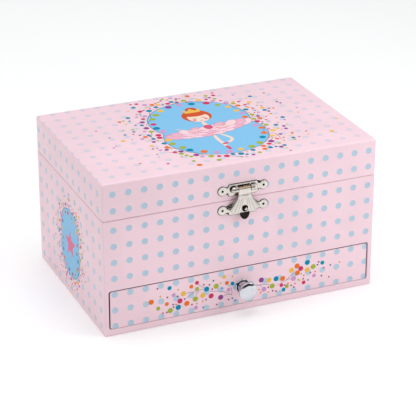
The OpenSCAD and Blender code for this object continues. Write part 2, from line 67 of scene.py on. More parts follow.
SIDE_LOW, SIDE_HIGH = corners("right_side")
RAIL_LOW, RAIL_HIGH = corners("front_rail")
PANEL_LOW, PANEL_HIGH = corners("front_panel")
LID_LOW, LID_HIGH = corners("lid_left")
TOP_LOW, TOP_HIGH = corners("lid_top")
FRONT_LOW, FRONT_HIGH = corners("drawer_front")

BOARD = PANEL_HIGH[1] - PANEL_LOW[1]
HALF_W = SIDE_HIGH[0]
HALF_D = SIDE_HIGH[1]
RIM_Z = SIDE_HIGH[2]
SEAM_Z = LID_LOW[2]
LID_Z = TOP_HIGH[2]
LID_ROUND = 1.7
OPENING = (RAIL_HIGH[2], PANEL_LOW[2])
KNOB_Z = float((FRONT_LOW[2] + FRONT_HIGH[2]) / 2)


# Colours


def ink(code):
    """Linear colour from a six-figure sRGB code."""
    s = np.array([int(code[i:i + 2], 16) for i in (0, 2, 4)]) / 255
    linear = np.where(s <= 0.04045, s / 12.92, ((s + 0.055) / 1.055) ** 2.4)
    return tuple(float(c) for c in linear)


INKS = {
    "orange": "E8762C",
    "teal": "0389AE",
    "crimson": "CE3A66",
    "green": "A4B43C",
    "yellow": "EFBD52",
    "purple": "93478F",
    "lilac": "CF9ACB",
    "navy": "2F5F86",
    "plum": "93375F",
    "tan": "D9A05C",
}
SPRAY_INKS = list(INKS)


# Geometry: every function returns (points in millimetres, faces)


def grid_faces(rows, cols, wrap_rows=False, wrap_cols=False):
    """Quads of a grid of points; their normals point along (next column) x (next row)."""
    r, c = np.meshgrid(np.arange(rows if wrap_rows else rows - 1),
                       np.arange(cols if wrap_cols else cols - 1), indexing="ij")
    r2, c2 = (r + 1) % rows, (c + 1) % cols
    quads = np.stack([r * cols + c, r * cols + c2, r2 * cols + c2, r2 * cols + c], -1)
    return quads.reshape(-1, 4).tolist()


def combined(parts):
    """Several (points, faces) as one."""
    points, faces, count = [], [], 0
    for p, f in parts:
        p = np.asarray(p, float).reshape(-1, 3)
        points.append(p)
        faces += [[i + count for i in face] for face in f]
        count += len(p)
    return np.concatenate(points), faces


def loft(loops, caps=(True, True)):
    """Closed loops of equal length joined in order; a cap closes an end with one flat face.
    Loops run counter-clockwise seen from the last one, so that the faces point outwards."""
    loops = np.asarray(loops, float)
    rows, cols = loops.shape[:2]
    faces = grid_faces(rows, cols, wrap_cols=True)
    if caps[0]:
        faces.append(list(range(cols))[::-1])
    if caps[1]:
        faces.append([(rows - 1) * cols + i for i in range(cols)])
    return loops.reshape(-1, 3), faces


def turned(profile, steps=64, axis="z", centre=(0, 0, 0)):
    """Surface of revolution: profile points (radius, height) turned about an axis through centre."""
    profile = np.asarray(profile, float)
    a = np.arange(steps) * 2 * math.pi / steps
    r, h = profile[:, 0][:, None], profile[:, 1][:, None]
    x, y, z = r * np.cos(a), r * np.sin(a), h + 0 * a
    order = {"z": (x, y, z), "x": (z, x, y), "y": (y, z, x)}[axis]
    points = np.stack(order, -1).reshape(-1, 3) + np.asarray(centre, float)
    return points, grid_faces(len(profile), steps, wrap_cols=True)


def rounded_loop(half_u, half_v, radius, steps=6):
    """Counter-clockwise outline of a rounded rectangle, (4 * (steps + 1), 2)."""
    a = np.linspace(0, math.pi / 2, steps + 1)
    arcs = []
    for k, (su, sv) in enumerate(((1, 1), (-1, 1), (-1, -1), (1, -1))):
        turn = a + k * math.pi / 2
        arcs.append(np.stack([su * (half_u - radius) + radius * np.cos(turn),
                              sv * (half_v - radius) + radius * np.sin(turn)], -1))
    return np.concatenate(arcs)


def level(loop, z, centre=(0, 0)):
    """A flat outline laid level at height z about a centre."""
    return np.column_stack([loop + np.asarray(centre), np.full(len(loop), z)])


def upright(loop, y, x=0, z=0):
    """A flat outline stood up across Y at depth y, about a centre x, z."""
    return np.column_stack([loop[:, 0] + x, np.full(len(loop), y), loop[:, 1] + z])


def mirrored(points, faces, signs):
    """Points mirrored by the signs of their axes, with the faces turned so that they point outwards again."""
    return points * signs, [face[::-1] for face in faces]


def bar(low, high, radius=0.5, steps=3):
    """A board with rounded edges: rounded outlines in x and y, drawn in by a quarter circle at top and foot."""
    low, high = np.asarray(low, float), np.asarray(high, float)
    centre, half = (low + high) / 2, (high - low) / 2
    a = np.linspace(0, math.pi / 2, steps + 1)
    insets = np.concatenate([radius * (1 - np.sin(a)), radius * (1 - np.sin(a[::-1]))])
    heights = np.concatenate([low[2] + radius * (1 - np.cos(a)),
                              high[2] - radius * (1 - np.cos(a[::-1]))])
    loops = []
    for inset, z in zip(insets, heights):
        loop = rounded_loop(half[0] - inset, half[1] - inset, max(radius - inset, 0.02), steps)
        loops.append(level(loop, z, centre[:2]))
    return loft(loops)


def tube(path, radius, sides=12, closed=False, up=(0, 0, 1)):
    """A round tube along a path. Each ring lies across the path's direction; radius may vary along it."""
    path = np.asarray(path, float)
    if closed:
        along = np.roll(path, -1, 0) - np.roll(path, 1, 0)
    else:
        along = np.gradient(path, axis=0)
    along /= np.linalg.norm(along, axis=1)[:, None]
    side = np.cross(along, np.asarray(up, float))
    weak = np.linalg.norm(side, axis=1) < 0.1
    side[weak] = np.cross(along[weak], (1.0, 0.0, 0.0))
    side /= np.linalg.norm(side, axis=1)[:, None]
    over = np.cross(side, along)
    a = np.arange(sides) * 2 * math.pi / sides
    radius = np.broadcast_to(np.asarray(radius, float), (len(path),))[:, None, None]
    rings = path[:, None] + radius * (np.cos(a)[None, :, None] * over[:, None]
                                      + np.sin(a)[None, :, None] * side[:, None])
    rows = len(path)
    faces = grid_faces(rows, sides, wrap_rows=closed, wrap_cols=True)
    if not closed:
        faces.append(list(range(sides))[::-1])
        faces.append([(rows - 1) * sides + i for i in range(sides)])
    return rings.reshape(-1, 3), faces


def smooth_path(points, steps=12):
    """Catmull-Rom curve through the points."""
    p = np.asarray(points, float)
    p = np.concatenate([[2 * p[0] - p[1]], p, [2 * p[-1] - p[-2]]])
    t = np.linspace(0, 1, steps, endpoint=False)[:, None]
    spans = [0.5 * (2 * p[i] + (p[i + 1] - p[i - 1]) * t
                    + (2 * p[i - 1] - 5 * p[i] + 4 * p[i + 1] - p[i + 2]) * t ** 2
                    + (3 * p[i] - p[i - 1] - 3 * p[i + 1] + p[i + 2]) * t ** 3)
             for i in range(1, len(p) - 2)]
    return np.concatenate(spans + [p[-2:-1]])


def hoop(y, z, ring, radius, steps, sides):
    """A round wire bent to a ring across Y, about x = 0 and height z."""
    a = np.arange(steps) * 2 * math.pi / steps
    path = np.stack([ring * np.cos(a), np.full(steps, y), z + ring * np.sin(a)], -1)
    return tube(path, radius, sides, closed=True, up=(0, 1, 0))


def ball(centre, radii, rows=20, cols=32):
    """An ellipsoid: latitude circles from the lower to the upper pole."""
    t = np.linspace(-math.pi / 2, math.pi / 2, rows)
    points, faces = turned(np.stack([np.cos(t), np.sin(t)], -1), cols)
    return points * np.broadcast_to(radii, 3) + np.asarray(centre, float), faces


class Face:
    """A flat side of the box that carries a print: u and v lie in it and h stands out from it."""

    def __init__(self, origin, u, v):
        self.origin = np.asarray(origin, float)
        self.u = np.asarray(u, float)
        self.v = np.asarray(v, float)
        self.out = np.cross(self.u, self.v)

    def at(self, uv, h):
        uv = np.asarray(uv, float)
        h = np.broadcast_to(np.asarray(h, float), uv.shape[:-1])
        return self.origin + uv[..., :1] * self.u + uv[..., 1:] * self.v + h[..., None] * self.out


def prism(face, outline, low, high):
    """A flat outline on a face, from height low to height high."""
    outline = np.asarray(outline, float)
    return loft([face.at(outline, low), face.at(outline, high)])


def ellipse(centre, radii, steps=32, turn=0.0):
    """Counter-clockwise outline of an ellipse turned by an angle in degrees."""
    a = np.arange(steps) * 2 * math.pi / steps
    radii = np.broadcast_to(radii, 2)
    x, y = radii[0] * np.cos(a), radii[1] * np.sin(a)
    c, s = math.cos(math.radians(turn)), math.sin(math.radians(turn))
    return np.stack([centre[0] + c * x - s * y, centre[1] + s * x + c * y], -1)


def stroke(face, path, width, low, high):
    """A drawn line on a face: the path widened to both sides, tapering at its ends."""
    path = np.asarray(path, float)
    along = np.gradient(path, axis=0)
    along /= np.linalg.norm(along, axis=1)[:, None]
    across = np.stack([-along[:, 1], along[:, 0]], -1)
    t = np.linspace(0, 1, len(path))
    half = (width / 2 * np.clip(4 * np.minimum(t, 1 - t), 0, 1) ** 0.5 + 0.04)[:, None]
    return prism(face, np.concatenate([path - across * half, (path + across * half)[::-1]]), low, high)


# Pieces


def piece(name, parts, look, body, replaces=(), sharp=35):
    """One object from its parts, in metres, welded at poles and seams, riding on a body."""
    points, faces = combined(parts)
    mesh = bpy.data.meshes.new(name)
    mesh.from_pydata((points * MM).tolist(), [], faces)
    work = bmesh.new()
    work.from_mesh(mesh)
    bmesh.ops.remove_doubles(work, verts=work.verts, dist=1e-7)
    work.to_mesh(mesh)
    work.free()
    mesh.polygons.foreach_set("use_smooth", np.ones(len(mesh.polygons), bool))
    mesh.set_sharp_from_angle(angle=math.radians(sharp))
    mesh.materials.append(finish(look))
    obj = bpy.data.objects.new(name, mesh)
    bpy.context.scene.collection.objects.link(obj)
    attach(obj, body)
    if replaces:
        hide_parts(*replaces)
    return obj


def dress(node, look):
    """Give a CAD node its look."""
    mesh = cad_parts[node].data
    mesh.materials.clear()
    mesh.materials.append(finish(look))


# Materials


class Finish:
    """A material: one Principled surface and short calls that add nodes to it."""

    def __init__(self, name, color, roughness, **sockets):
        self.material = bpy.data.materials.new(name)
        self.material.use_nodes = True
        self.tree = self.material.node_tree
        self.surface = self.tree.nodes["Principled BSDF"]
        self.surface.inputs["Base Color"].default_value = (*color, 1)
        self.surface.inputs["Roughness"].default_value = roughness
        for key, value in sockets.items():
            self.surface.inputs[key.replace("_", " ").title().replace("Ior", "IOR")].default_value = value
        self.coords = self.tree.nodes.new("ShaderNodeTexCoord")

    def add(self, kind, inputs=(), output=0, **settings):
        """Add a node; an input is a socket to link, a value to set, or None to leave."""
        node = self.tree.nodes.new("ShaderNode" + kind)
        for key, value in settings.items():
            setattr(node, key, value)
        pairs = inputs.items() if isinstance(inputs, dict) else enumerate(inputs)
        for key, value in pairs:
            if isinstance(value, bpy.types.NodeSocket):
                self.tree.links.new(value, node.inputs[key])
            elif value is not None:
                node.inputs[key].default_value = value
        return node.outputs[output]

    def math(self, operation, *inputs):
        return self.add("Math", inputs, operation=operation)

    def noise(self, scale, detail=3.0, rough=0.55, vector=None):
        return self.add("TexNoise", {"Vector": vector or self.coords.outputs["Object"], "Scale": scale,
                                     "Detail": detail, "Roughness": rough})

    def span(self, value, low, high, to_low=0.0, to_high=1.0):
        """Map value from low..high to to_low..to_high with smooth ends."""
        return self.add("MapRange", (value, low, high, to_low, to_high), interpolation_type="SMOOTHSTEP")

    def mix(self, factor, a, b):
        """Blend two colours by a factor."""
        node = self.tree.nodes.new("ShaderNodeMix")
        node.data_type = "RGBA"
        for socket, value in ((node.inputs[0], factor), (node.inputs[6], a), (node.inputs[7], b)):
            if isinstance(value, bpy.types.NodeSocket):
                self.tree.links.new(value, socket)
            else:
                socket.default_value = (*value, 1) if isinstance(value, tuple) else value
        return node.outputs[2]

    def color(self, socket):
        self.tree.links.new(socket, self.surface.inputs["Base Color"])

    def roughness(self, socket):
        self.tree.links.new(socket, self.surface.inputs["Roughness"])

    def bump(self, height, strength=0.3, distance=0.0001):
        normal = self.add("Bump", {"Strength": strength, "Distance": distance, "Height": height})
        self.tree.links.new(normal, self.surface.inputs["Normal"])


def shade(color, factor):
    """The colour made darker (factor below 1) or lighter."""
    return tuple(min(1.0, c * factor) for c in color)


def printed_paper(name, pink, blue, front, side, top, dot):
    """Satin paper with a square field of dots. front, side and top are (pitch u, pitch v, centre u, centre v)
    in millimetres for the faces that look along Y, X and Z."""
    f = Finish(name, pink, 0.42)
    place = f.add("SeparateXYZ", [f.coords.outputs["Object"]]).node.outputs
    facing = f.add("SeparateXYZ", [f.coords.outputs["Normal"]]).node.outputs
    masks = []
    for (pitch_u, pitch_v, at_u, at_v), (u, v) in zip((front, side, top), ((0, 2), (1, 2), (0, 1))):
        offsets = []
        for axis, pitch, at in ((u, pitch_u, at_u), (v, pitch_v, at_v)):
            moved = f.math("SUBTRACT", place[axis], at * MM)
            offsets.append(f.math("WRAP", moved, pitch * MM / 2, -pitch * MM / 2))
        squares = [f.math("MULTIPLY", o, o) for o in offsets]
        distance = f.math("SQRT", f.math("ADD", *squares))
        masks.append(f.span(distance, (dot / 2 - 0.12) * MM, (dot / 2 + 0.12) * MM, 1.0, 0.0))
    on_side = f.math("GREATER_THAN", f.math("ABSOLUTE", facing[0]), 0.7)
    on_top = f.math("GREATER_THAN", f.math("ABSOLUTE", facing[2]), 0.7)
    # The side faces take the dots at 0.8 of their strength. The outer top takes them at 0.45, paler, as a painted
    # sheen on the top.
    mask = f.add("Mix", (on_side, None, masks[0], f.math("MULTIPLY", masks[1], 0.8)))
    outside = f.math("GREATER_THAN", place[2], (LID_Z - 1) * MM)
    mask = f.add("Mix", (on_top, None, mask, f.math("MULTIPLY", f.math("MULTIPLY", masks[2], 0.45), outside)))
    grain = f.noise(900.0, 4.0, 0.6)
    mottle = f.noise(22.0, 2.0)
    ground = f.mix(f.span(mottle, 0.35, 0.65), shade(pink, 0.975), shade(pink, 1.02))
    ground = f.mix(f.span(grain, 0.3, 0.7, 0.0, 0.12), ground, (1.0, 0.97, 0.97))
    spot = f.mix(f.span(grain, 0.3, 0.7, 0.0, 0.14), blue, (0.95, 0.98, 1.0))
    f.color(f.mix(mask, ground, spot))
    f.roughness(f.span(grain, 0.2, 0.8, 0.38, 0.5))
    f.bump(grain, 0.12, 0.00005)
    return f.material


def printed_ink(name, color, gloss=0.4):
    """Ink printed on the paper, with the paper's grain showing faintly."""
    f = Finish(name, color, gloss, specular_ior_level=0.1)
    grain = f.noise(1100.0, 3.0)
    f.color(f.mix(f.span(grain, 0.3, 0.75), shade(color, 0.93), shade(color, 1.05)))
    f.bump(grain, 0.1, 0.00004)
    return f.material


def plain_paper(name, color, fleck):
    """Uncoated lining paper with a small printed dot every few millimetres."""
    f = Finish(name, color, 0.7, specular_ior_level=0.3)
    cells = f.add("TexVoronoi", {"Vector": f.coords.outputs["Object"], "Scale": 330.0, "Randomness": 0.8})
    fibre = f.noise(1500.0, 4.0, 0.65)
    ground = f.mix(f.span(fibre, 0.3, 0.7), shade(color, 0.96), shade(color, 1.03))
    f.color(f.mix(f.span(cells, 0.2, 0.26, 1.0, 0.0), ground, fleck))
    f.bump(fibre, 0.2, 0.00008)
    return f.material


def flock(name, color):
    """Short flocked lining: fine fibres with a soft sheen."""
    f = Finish(name, color, 0.95, sheen_weight=0.6, sheen_roughness=0.4)
    fibre = f.noise(2600.0, 5.0, 0.7)
    patch = f.noise(60.0, 3.0)
    tone = f.mix(f.span(patch, 0.35, 0.65), shade(color, 0.93), shade(color, 1.04))
    f.color(f.mix(f.span(fibre, 0.3, 0.7, 0.0, 0.35), tone, shade(color, 0.72)))
    f.bump(fibre, 0.6, 0.0002)
    return f.material


def metal(name, color, roughness, streak=0.0, scale=(300.0, 300.0, 300.0)):
    """Metal with faint brushing: noise stretched by scale changes its gloss and surface."""
    f = Finish(name, color, roughness, metallic=1.0)
    stretched = f.add("Mapping", {"Vector": f.coords.outputs["Object"], "Scale": scale})
    lines = f.noise(1.0, 4.0, 0.6, stretched)
    smudge = f.noise(140.0, 3.0)
    f.color(f.mix(f.span(smudge, 0.3, 0.7), shade(color, 0.92), shade(color, 1.04)))
    f.roughness(f.span(lines, 0.3, 0.7, roughness, roughness + 0.12 + streak))
    if streak:
        f.bump(lines, streak, 0.00002)
    return f.material


def fibreboard(name, color):
    """Bare pressed board: tangled fibres and darker specks."""
    f = Finish(name, color, 0.85, specular_ior_level=0.25)
    fibre = f.noise(700.0, 6.0, 0.7)
    speck = f.noise(1800.0, 2.0)
    tone = f.mix(f.span(fibre, 0.3, 0.7), shade(color, 0.8), shade(color, 1.12))
    f.color(f.mix(f.span(speck, 0.62, 0.72, 0.0, 0.6), tone, shade(color, 0.45)))
    f.bump(fibre, 0.35, 0.00015)
    return f.material


def moulded(name, color, roughness=0.3, subsurface=0.0):
    """Painted or plain moulded plastic with slight unevenness."""
    f = Finish(name, color, roughness, subsurface_weight=subsurface, subsurface_scale=0.0015)
    wave = f.noise(180.0, 3.0)
    f.color(f.mix(f.span(wave, 0.3, 0.7), shade(color, 0.95), shade(color, 1.04)))
    f.roughness(f.span(wave, 0.3, 0.7, roughness, roughness + 0.1))
    f.bump(wave, 0.06, 0.0001)
    return f.material


def net(name, color, pitch=0.9):
    """Stiff tulle: crossing threads every few tenths of a millimetre, seen from above the skirt."""
    f = Finish(name, color, 0.6, sheen_weight=0.5, sheen_roughness=0.3, subsurface_weight=0.2,
               subsurface_scale=0.002)
    place = f.add("SeparateXYZ", [f.coords.outputs["Object"]]).node.outputs
    threads = [f.math("PINGPONG", f.math("DIVIDE", place[i], pitch * MM), 0.5) for i in (0, 1)]
    mesh = f.math("MAXIMUM", *threads)
    f.color(f.mix(f.span(mesh, 0.34, 0.46), shade(color, 0.86), shade(color, 1.1)))
    f.bump(mesh, 0.5, 0.0001)
    return f.material


def silvered(name):
    """Mirror glass with a very faint haze."""
    f = Finish(name, (0.9, 0.92, 0.93), 0.02, metallic=1.0)
    haze = f.noise(40.0, 3.0)
    f.roughness(f.span(haze, 0.4, 0.8, 0.012, 0.05))
    return f.material


# Case, lid and drawer coverings

LAYER = 0.02                # thickness of one layer of a print
ROOM = 8 * LAYER            # the coverings lie this far back, so that the prints stay inside the box
EDGE = 0.9                  # rounding of covered board edges
COVER_W, COVER_D, COVER_Z = HALF_W - ROOM, HALF_D, LID_Z - ROOM


def window_wall(half, middle, window, at, hole_round, y_out, y_in):
    """A wall across Y with an opening. Loops run round the wall: from its inner face's rim, over the rounded
    outer edge, across the outer face, over the opening's rounded edge and through to the inner face."""
    out = math.copysign(1, y_out - y_in)
    a = np.linspace(0, math.pi / 2, 5)
    rim = [(0, y_in)] + [(EDGE * (1 - math.cos(t)), y_out - out * EDGE * (1 - math.sin(t))) for t in a]
    soft = EDGE * 0.7
    lip = [(-soft * (1 - math.sin(t)), y_out - out * soft * (1 - math.cos(t))) for t in a] + [(0, y_in)]
    loops = []
    for inset, y in rim:
        loop = rounded_loop(half[0] - inset, half[1] - inset, max(EDGE - inset, 0.05), 4)
        loops.append(upright(loop, y, 0, middle))
    for inset, y in lip:
        loop = rounded_loop(window[0] - inset, window[1] - inset, max(hole_round - inset, 0.05), 4)
        loops.append(upright(loop, y, 0, at))
    loops = np.array(loops)
    if out > 0:
        loops = loops[:, ::-1]
    return loops.reshape(-1, 3), grid_faces(len(loops), loops.shape[1], wrap_rows=True, wrap_cols=True)


def side_wall(side):
    """A side wall: a rounded upright outline carried along Y between the front and back walls."""
    inner = HALF_W - BOARD
    middle = side * (COVER_W + inner) / 2
    loop = rounded_loop((COVER_W - inner) / 2, RIM_Z / 2, EDGE, 4)
    ends = (HALF_D - BOARD, BOARD - HALF_D)
    return loft([upright(loop, y, middle, RIM_Z / 2) for y in ends])


def lid_shell():
    """The lid as rounded outlines from its ceiling down the inner wall, round the rim, up the outer wall,
    over a quarter circle and across the top."""
    inner_w, inner_d, ceiling = HALF_W - BOARD, HALF_D - BOARD, TOP_LOW[2]
    a = np.linspace(0, math.pi / 2, 7)
    rows = [(inner_w, inner_d, ceiling), (inner_w, inner_d, SEAM_Z + 0.3),
            (inner_w + 0.3, inner_d + 0.3, SEAM_Z), (COVER_W - 0.3, COVER_D - 0.3, SEAM_Z),
            (COVER_W, COVER_D, SEAM_Z + 0.3)]
    rows += [(COVER_W - LID_ROUND * (1 - math.cos(t)), COVER_D - LID_ROUND * (1 - math.cos(t)),
              COVER_Z - LID_ROUND * (1 - math.sin(t))) for t in a]
    loops = []
    for w, d, z in rows:
        loop = rounded_loop(w, d, max(1.3 - (COVER_W - w) * 0.4, 0.2) if w > inner_w else 0.4, 5)
        loops.append(level(loop, z))
    return loft(loops)


def face_board(low, high, radius, edge):
    """The drawer's front: rounded outlines in X and Z from back to front, drawn in by a quarter circle."""
    centre, half = (low + high) / 2, (high - low) / 2
    rows = [(0.0, high[1])] + [(edge * (1 - math.cos(t)), low[1] + edge * (1 - math.sin(t)))
                               for t in np.linspace(0, math.pi / 2, 5)]
    loops = []
    for inset, y in rows:
        loop = rounded_loop(half[0] - inset, half[2] - inset, radius - inset / 2, 6)
        loops.append(upright(loop, y, centre[0], centre[2]))
    return loft(loops)


# Prints

DRAWER_FACE = Face((-HALF_W, -HALF_D, 0), (1, 0, 0), (0, 0, 1))
PRINT_X = 2.9               # the lid's print sits a little right of the middle
LEFT_FACE = Face((-COVER_W, 0, 0), (0, -1, 0), (0, 0, 1))
RIGHT_FACE = Face((COVER_W, 0, 0), (0, 1, 0), (0, 0, 1))

# Berries on the drawer, as (from the left edge, height) in millimetres
LARGE_BERRIES = {
    "orange": [(40, 23.5), (71, 16), (157, 21.5), (170, 30.5), (170.5, 24)],
    "green": [(56.5, 12.5), (78.5, 18.5), (97, 26.5), (147.5, 16.5), (185, 27)],
    "teal": [(63.5, 14), (88.5, 25.5), (151, 22.5), (179.5, 32)],
    "crimson": [(65, 19.5), (92.5, 18.5), (173.5, 27.5)],
    "yellow": [(68, 25.5), (85, 20.5), (144.5, 22.5), (165, 27.5), (179.5, 25)],
    "purple": [(101, 15.5), (137.5, 24)],
    "lilac": [(140, 15), (167, 19.5)],
}
MEDIUM_BERRIES = {
    "orange": [(53.5, 19), (75, 30.5), (106.5, 27.5)],
    "green": [(46, 16.5), (80, 27.5), (161, 13.5)],
    "teal": [(56, 33), (111.5, 26), (158, 11), (193.5, 29)],
    "crimson": [(80, 33), (156, 15.5), (176.5, 14)],
    "yellow": [(104, 33.5)],
    "lilac": [(59.5, 26), (79, 10.5), (108, 21), (186, 18.5)],
}
SMALL_BERRIES = {
    "purple": [(45.5, 34.5), (53.5, 11.5), (69, 20.5), (88, 16), (114, 10), (159, 15), (167.5, 11.5)],
    "tan": [(48, 27), (63.5, 30), (85, 15), (111.5, 32.5), (144, 11.5), (209.5, 26.5), (80, 14), (101, 28.5),
            (135.5, 15.5)],
    "plum": [(54, 25), (59.5, 15), (75.5, 14), (93.5, 24.5), (63, 24), (148, 12), (151, 11), (165, 13.5),
             (176, 17.5), (182.5, 22), (190, 30.5), (86, 30), (91, 29), (108, 12), (144, 16)],
    "navy": [(59, 17.5), (94.5, 32), (111.5, 12.5), (189, 28), (193, 17), (201, 25.5)],
    "orange": [(61.5, 17), (137, 12.5), (162, 16), (168.5, 14.5), (176.5, 20.5), (187, 22)],
    "crimson": [(50, 11.5), (97.5, 9.5), (195, 24), (200, 14.5)],
    "teal": [(85.5, 9.5), (102, 23.5), (180.5, 15.5)],
    "green": [(171.5, 17.5), (174, 22.5)],
    "yellow": [(173, 16.5)],
}
DRAWER_VINES = [
    [(111, 15), (110.5, 22), (107, 26)],
    [(111, 15.5), (105, 19.5), (97.5, 22), (93, 22.5), (88.5, 25.5)],
    [(88.5, 25.5), (84.5, 28.5), (80.5, 32)],
    [(88.5, 25.5), (83, 26), (77.5, 25), (73.5, 22.5), (69.5, 20.5)],
    [(77.5, 25), (74, 25.5), (70, 25)],
    [(82, 25.5), (80, 23.5), (79, 21)],
    [(99.5, 23), (98, 24.5), (97, 26)],
    [(111, 16), (107, 17), (103.5, 16.5)],
    [(132, 20.5), (136, 19.5), (140, 15.5)],
    [(132, 20), (140, 19.5), (146, 18)],
    [(150, 16), (159.5, 19), (163.5, 22), (166, 24), (169.5, 27.5)],
    [(159.5, 19), (162.5, 20), (165.5, 19.5)],
]


def berries(face, places, size, low, steps=20):
    """Round prints of one size at their places on a face."""
    return [prism(face, ellipse(p, size / 2, steps), low, low + LAYER) for p in places]


def lobed_outline(centre_y, lobes, steps=160):
    """Outline of two ellipses run together. Along each direction from the middle point, it lies where the
    further of the two ellipses ends: lobes are (middle, half width, half height)."""
    a = np.arange(steps) * 2 * math.pi / steps
    c, s = np.cos(a), np.sin(a)
    reach = []
    for middle, rx, ry in lobes:
        k = centre_y - middle
        qa, qb, qc = (c / rx) ** 2 + (s / ry) ** 2, 2 * k * s / ry ** 2, (k / ry) ** 2 - 1
        reach.append((-qb + np.sqrt(np.maximum(qb ** 2 - 4 * qa * qc, 0))) / (2 * qa))
    r = np.maximum(*reach)
    return np.stack([r * c, centre_y + r * s], -1)


def grown(outline, amount):
    """The outline moved outwards by amount along its own normals."""
    along = np.roll(outline, -1, 0) - np.roll(outline, 1, 0)
    along /= np.linalg.norm(along, axis=1)[:, None]
    return outline + amount * np.stack([along[:, 1], -along[:, 0]], -1)


def outline_band(face, outline, width, low):
    """A thin line printed round an outline: the strip between it and itself moved outwards."""
    inner, outer = grown(outline, -width / 2), grown(outline, width / 2)
    loops = np.stack([face.at(inner, low + LAYER), face.at(inner, low), face.at(outer, low),
                      face.at(outer, low + LAYER)])
    return loops.reshape(-1, 3), grid_faces(4, len(outline), wrap_rows=True, wrap_cols=True)


def spray(outline, rng, number, spread, sizes, limits, taken):
    """Dots scattered outwards from an outline, thinner with distance: rows of (x, y, size). A dot is kept where
    it is between the low and high limits and clear of the dots already taken."""
    at = rng.integers(0, len(outline), number)
    away = rng.exponential(spread, number) + 1.5
    along = np.roll(outline, -1, 0) - np.roll(outline, 1, 0)
    along /= np.linalg.norm(along, axis=1)[:, None]
    normal = np.stack([along[:, 1], -along[:, 0]], -1)
    places = outline[at] + normal[at] * away[:, None] + rng.normal(0, 1.8, (number, 2))
    dots = np.column_stack([places, rng.uniform(*sizes, number)])
    for dot in dots[np.all((places > limits[0]) & (places < limits[1]), axis=1)]:
        if np.all(np.linalg.norm(taken[:, :2] - dot[:2], axis=1) > (taken[:, 2] + dot[2]) / 2 + 0.5):
            taken = np.concatenate([taken, dot[None]])
    return taken


def scattered(face, outline, rng, number, ring_sizes, medium, small, limits, scale=1.0):
    """Berries strung inside and outside an outline, and smaller dots thrown outwards: parts by ink."""
    i = (np.arange(number) + rng.uniform(-0.2, 0.2, number)) * len(outline) / number
    inside = np.arange(number) % 2 == 0
    step = np.where(inside, -rng.uniform(3.2, 5.2, number), rng.uniform(2.2, 4.6, number))
    rings = np.stack([grown(outline, s)[int(k) % len(outline)] for k, s in zip(i, step)])
    sizes = np.where(inside, ring_sizes[0], ring_sizes[1]) * rng.uniform(0.85, 1.08, number)
    dots = np.column_stack([rings, sizes])
    dots = spray(outline, rng, medium[0], medium[1], (2.9 * scale, 4.6 * scale), limits, dots)
    dots = spray(outline, rng, small[0], small[1], (1.6 * scale, 2.7 * scale), limits, dots)
    groups = {name: [] for name in INKS}
    strong = rng.integers(0, 7, len(dots))
    strong[:number] = (np.arange(number) * 3 + rng.integers(0, 2, number)) % 7
    weak = rng.integers(0, len(SPRAY_INKS), len(dots))
    for k, (x, y, d) in enumerate(dots):
        name = SPRAY_INKS[weak[k] if d < 2.4 * scale else strong[k]]
        groups[name].append(prism(face, ellipse((x, y), d / 2, 22 if d > 2.4 else 12), 2 * LAYER, 3 * LAYER))
    return groups


def print_piece(name, groups, body):
    """One piece for each colour of a print."""
    for ink_name, parts in groups.items():
        if parts:
            piece(f"{name}_{ink_name}", parts, "Ink_" + ink_name, body)


# Clasp, knob and other fittings


CLASP_NAIL_X = 18.0         # the clasp's nails to either side of its middle
CLASP_FRONT = -HALF_D - 0.8     # front of the clasp's plates


def eared_plate(nail_z, low_z, high_z, middle_w, y_back, y_front, spread=0.0):
    """A plate with two round ears. Its half height across the width is the larger of the ear's circle, the
    bar between the ears and the rounded middle; its rim is drawn in by a quarter circle towards the front."""
    ear, bar_half, corner, edge = 3.8, 2.4, 2, 0.3
    middle, half = (low_z + high_z) / 2, (high_z - low_z) / 2
    end = middle_w / 2
    x = np.concatenate([CLASP_NAIL_X + ear * np.cos(np.linspace(0, 2.2, 14)),
                        np.linspace(CLASP_NAIL_X - 2.9, end + 0.3, 5),
                        end - corner * (1 - np.cos(np.linspace(0, math.pi / 2, 8)))])
    ear_half = np.sqrt(np.clip(ear ** 2 - (x - CLASP_NAIL_X) ** 2, 0, None))
    arm_half = np.maximum(ear_half, np.where(x < CLASP_NAIL_X, bar_half, 0))
    corner_half = np.sqrt(np.clip(corner ** 2 - (x - end + corner) ** 2, 0, None))
    block_half = np.where(x < end, half - corner + corner_half, 0)
    top = np.maximum(nail_z + arm_half, np.where(block_half > 0, middle + block_half, -np.inf))
    low = np.minimum(nail_z - arm_half, np.where(block_half > 0, middle - block_half, np.inf))
    upper = np.stack([x, top], -1)
    lower = np.stack([x, low], -1)[::-1]
    right = np.concatenate([lower[:-1], upper])
    left = right[::-1] * (-1, 1)
    outline = np.concatenate([right, left])
    outline = outline[np.linalg.norm(outline - np.roll(outline, 1, 0), axis=1) > 1e-4]
    outline = grown(outline, spread)
    rows = [(0.0, y_back)] + [(edge * (1 - math.cos(t)), y_front + edge * (1 - math.sin(t)))
                              for t in np.linspace(0, math.pi / 2, 4)]
    return loft([upright(grown(outline, -inset), y) for inset, y in rows])


def knuckle(side, y, z, plate_y):
    """A domed knuckle: a turned barrel with a collar and a ball end, on a curved foot from the plate."""
    a = np.linspace(0, math.pi / 2, 8)
    profile = [(0, 5.6), (2.0, 5.6), (2.45, 6.0), (2.45, 7.9), (2.15, 8.2), (2.15, 8.5)]
    profile += [(2.5 * math.cos(t), 8.9 + 2.5 * math.sin(t)) for t in a]
    points, faces = turned(profile, 28, "x")
    if side < 0:
        points, faces = mirrored(points, faces, (-1, 1, 1))
    ends = sorted((side * 5.7, side * 8.8))
    foot = bar((ends[0], y, z - 1.8), (ends[1], plate_y, z + 1.8), 0.4)
    return combined([(points + (0, y, z), faces), foot])


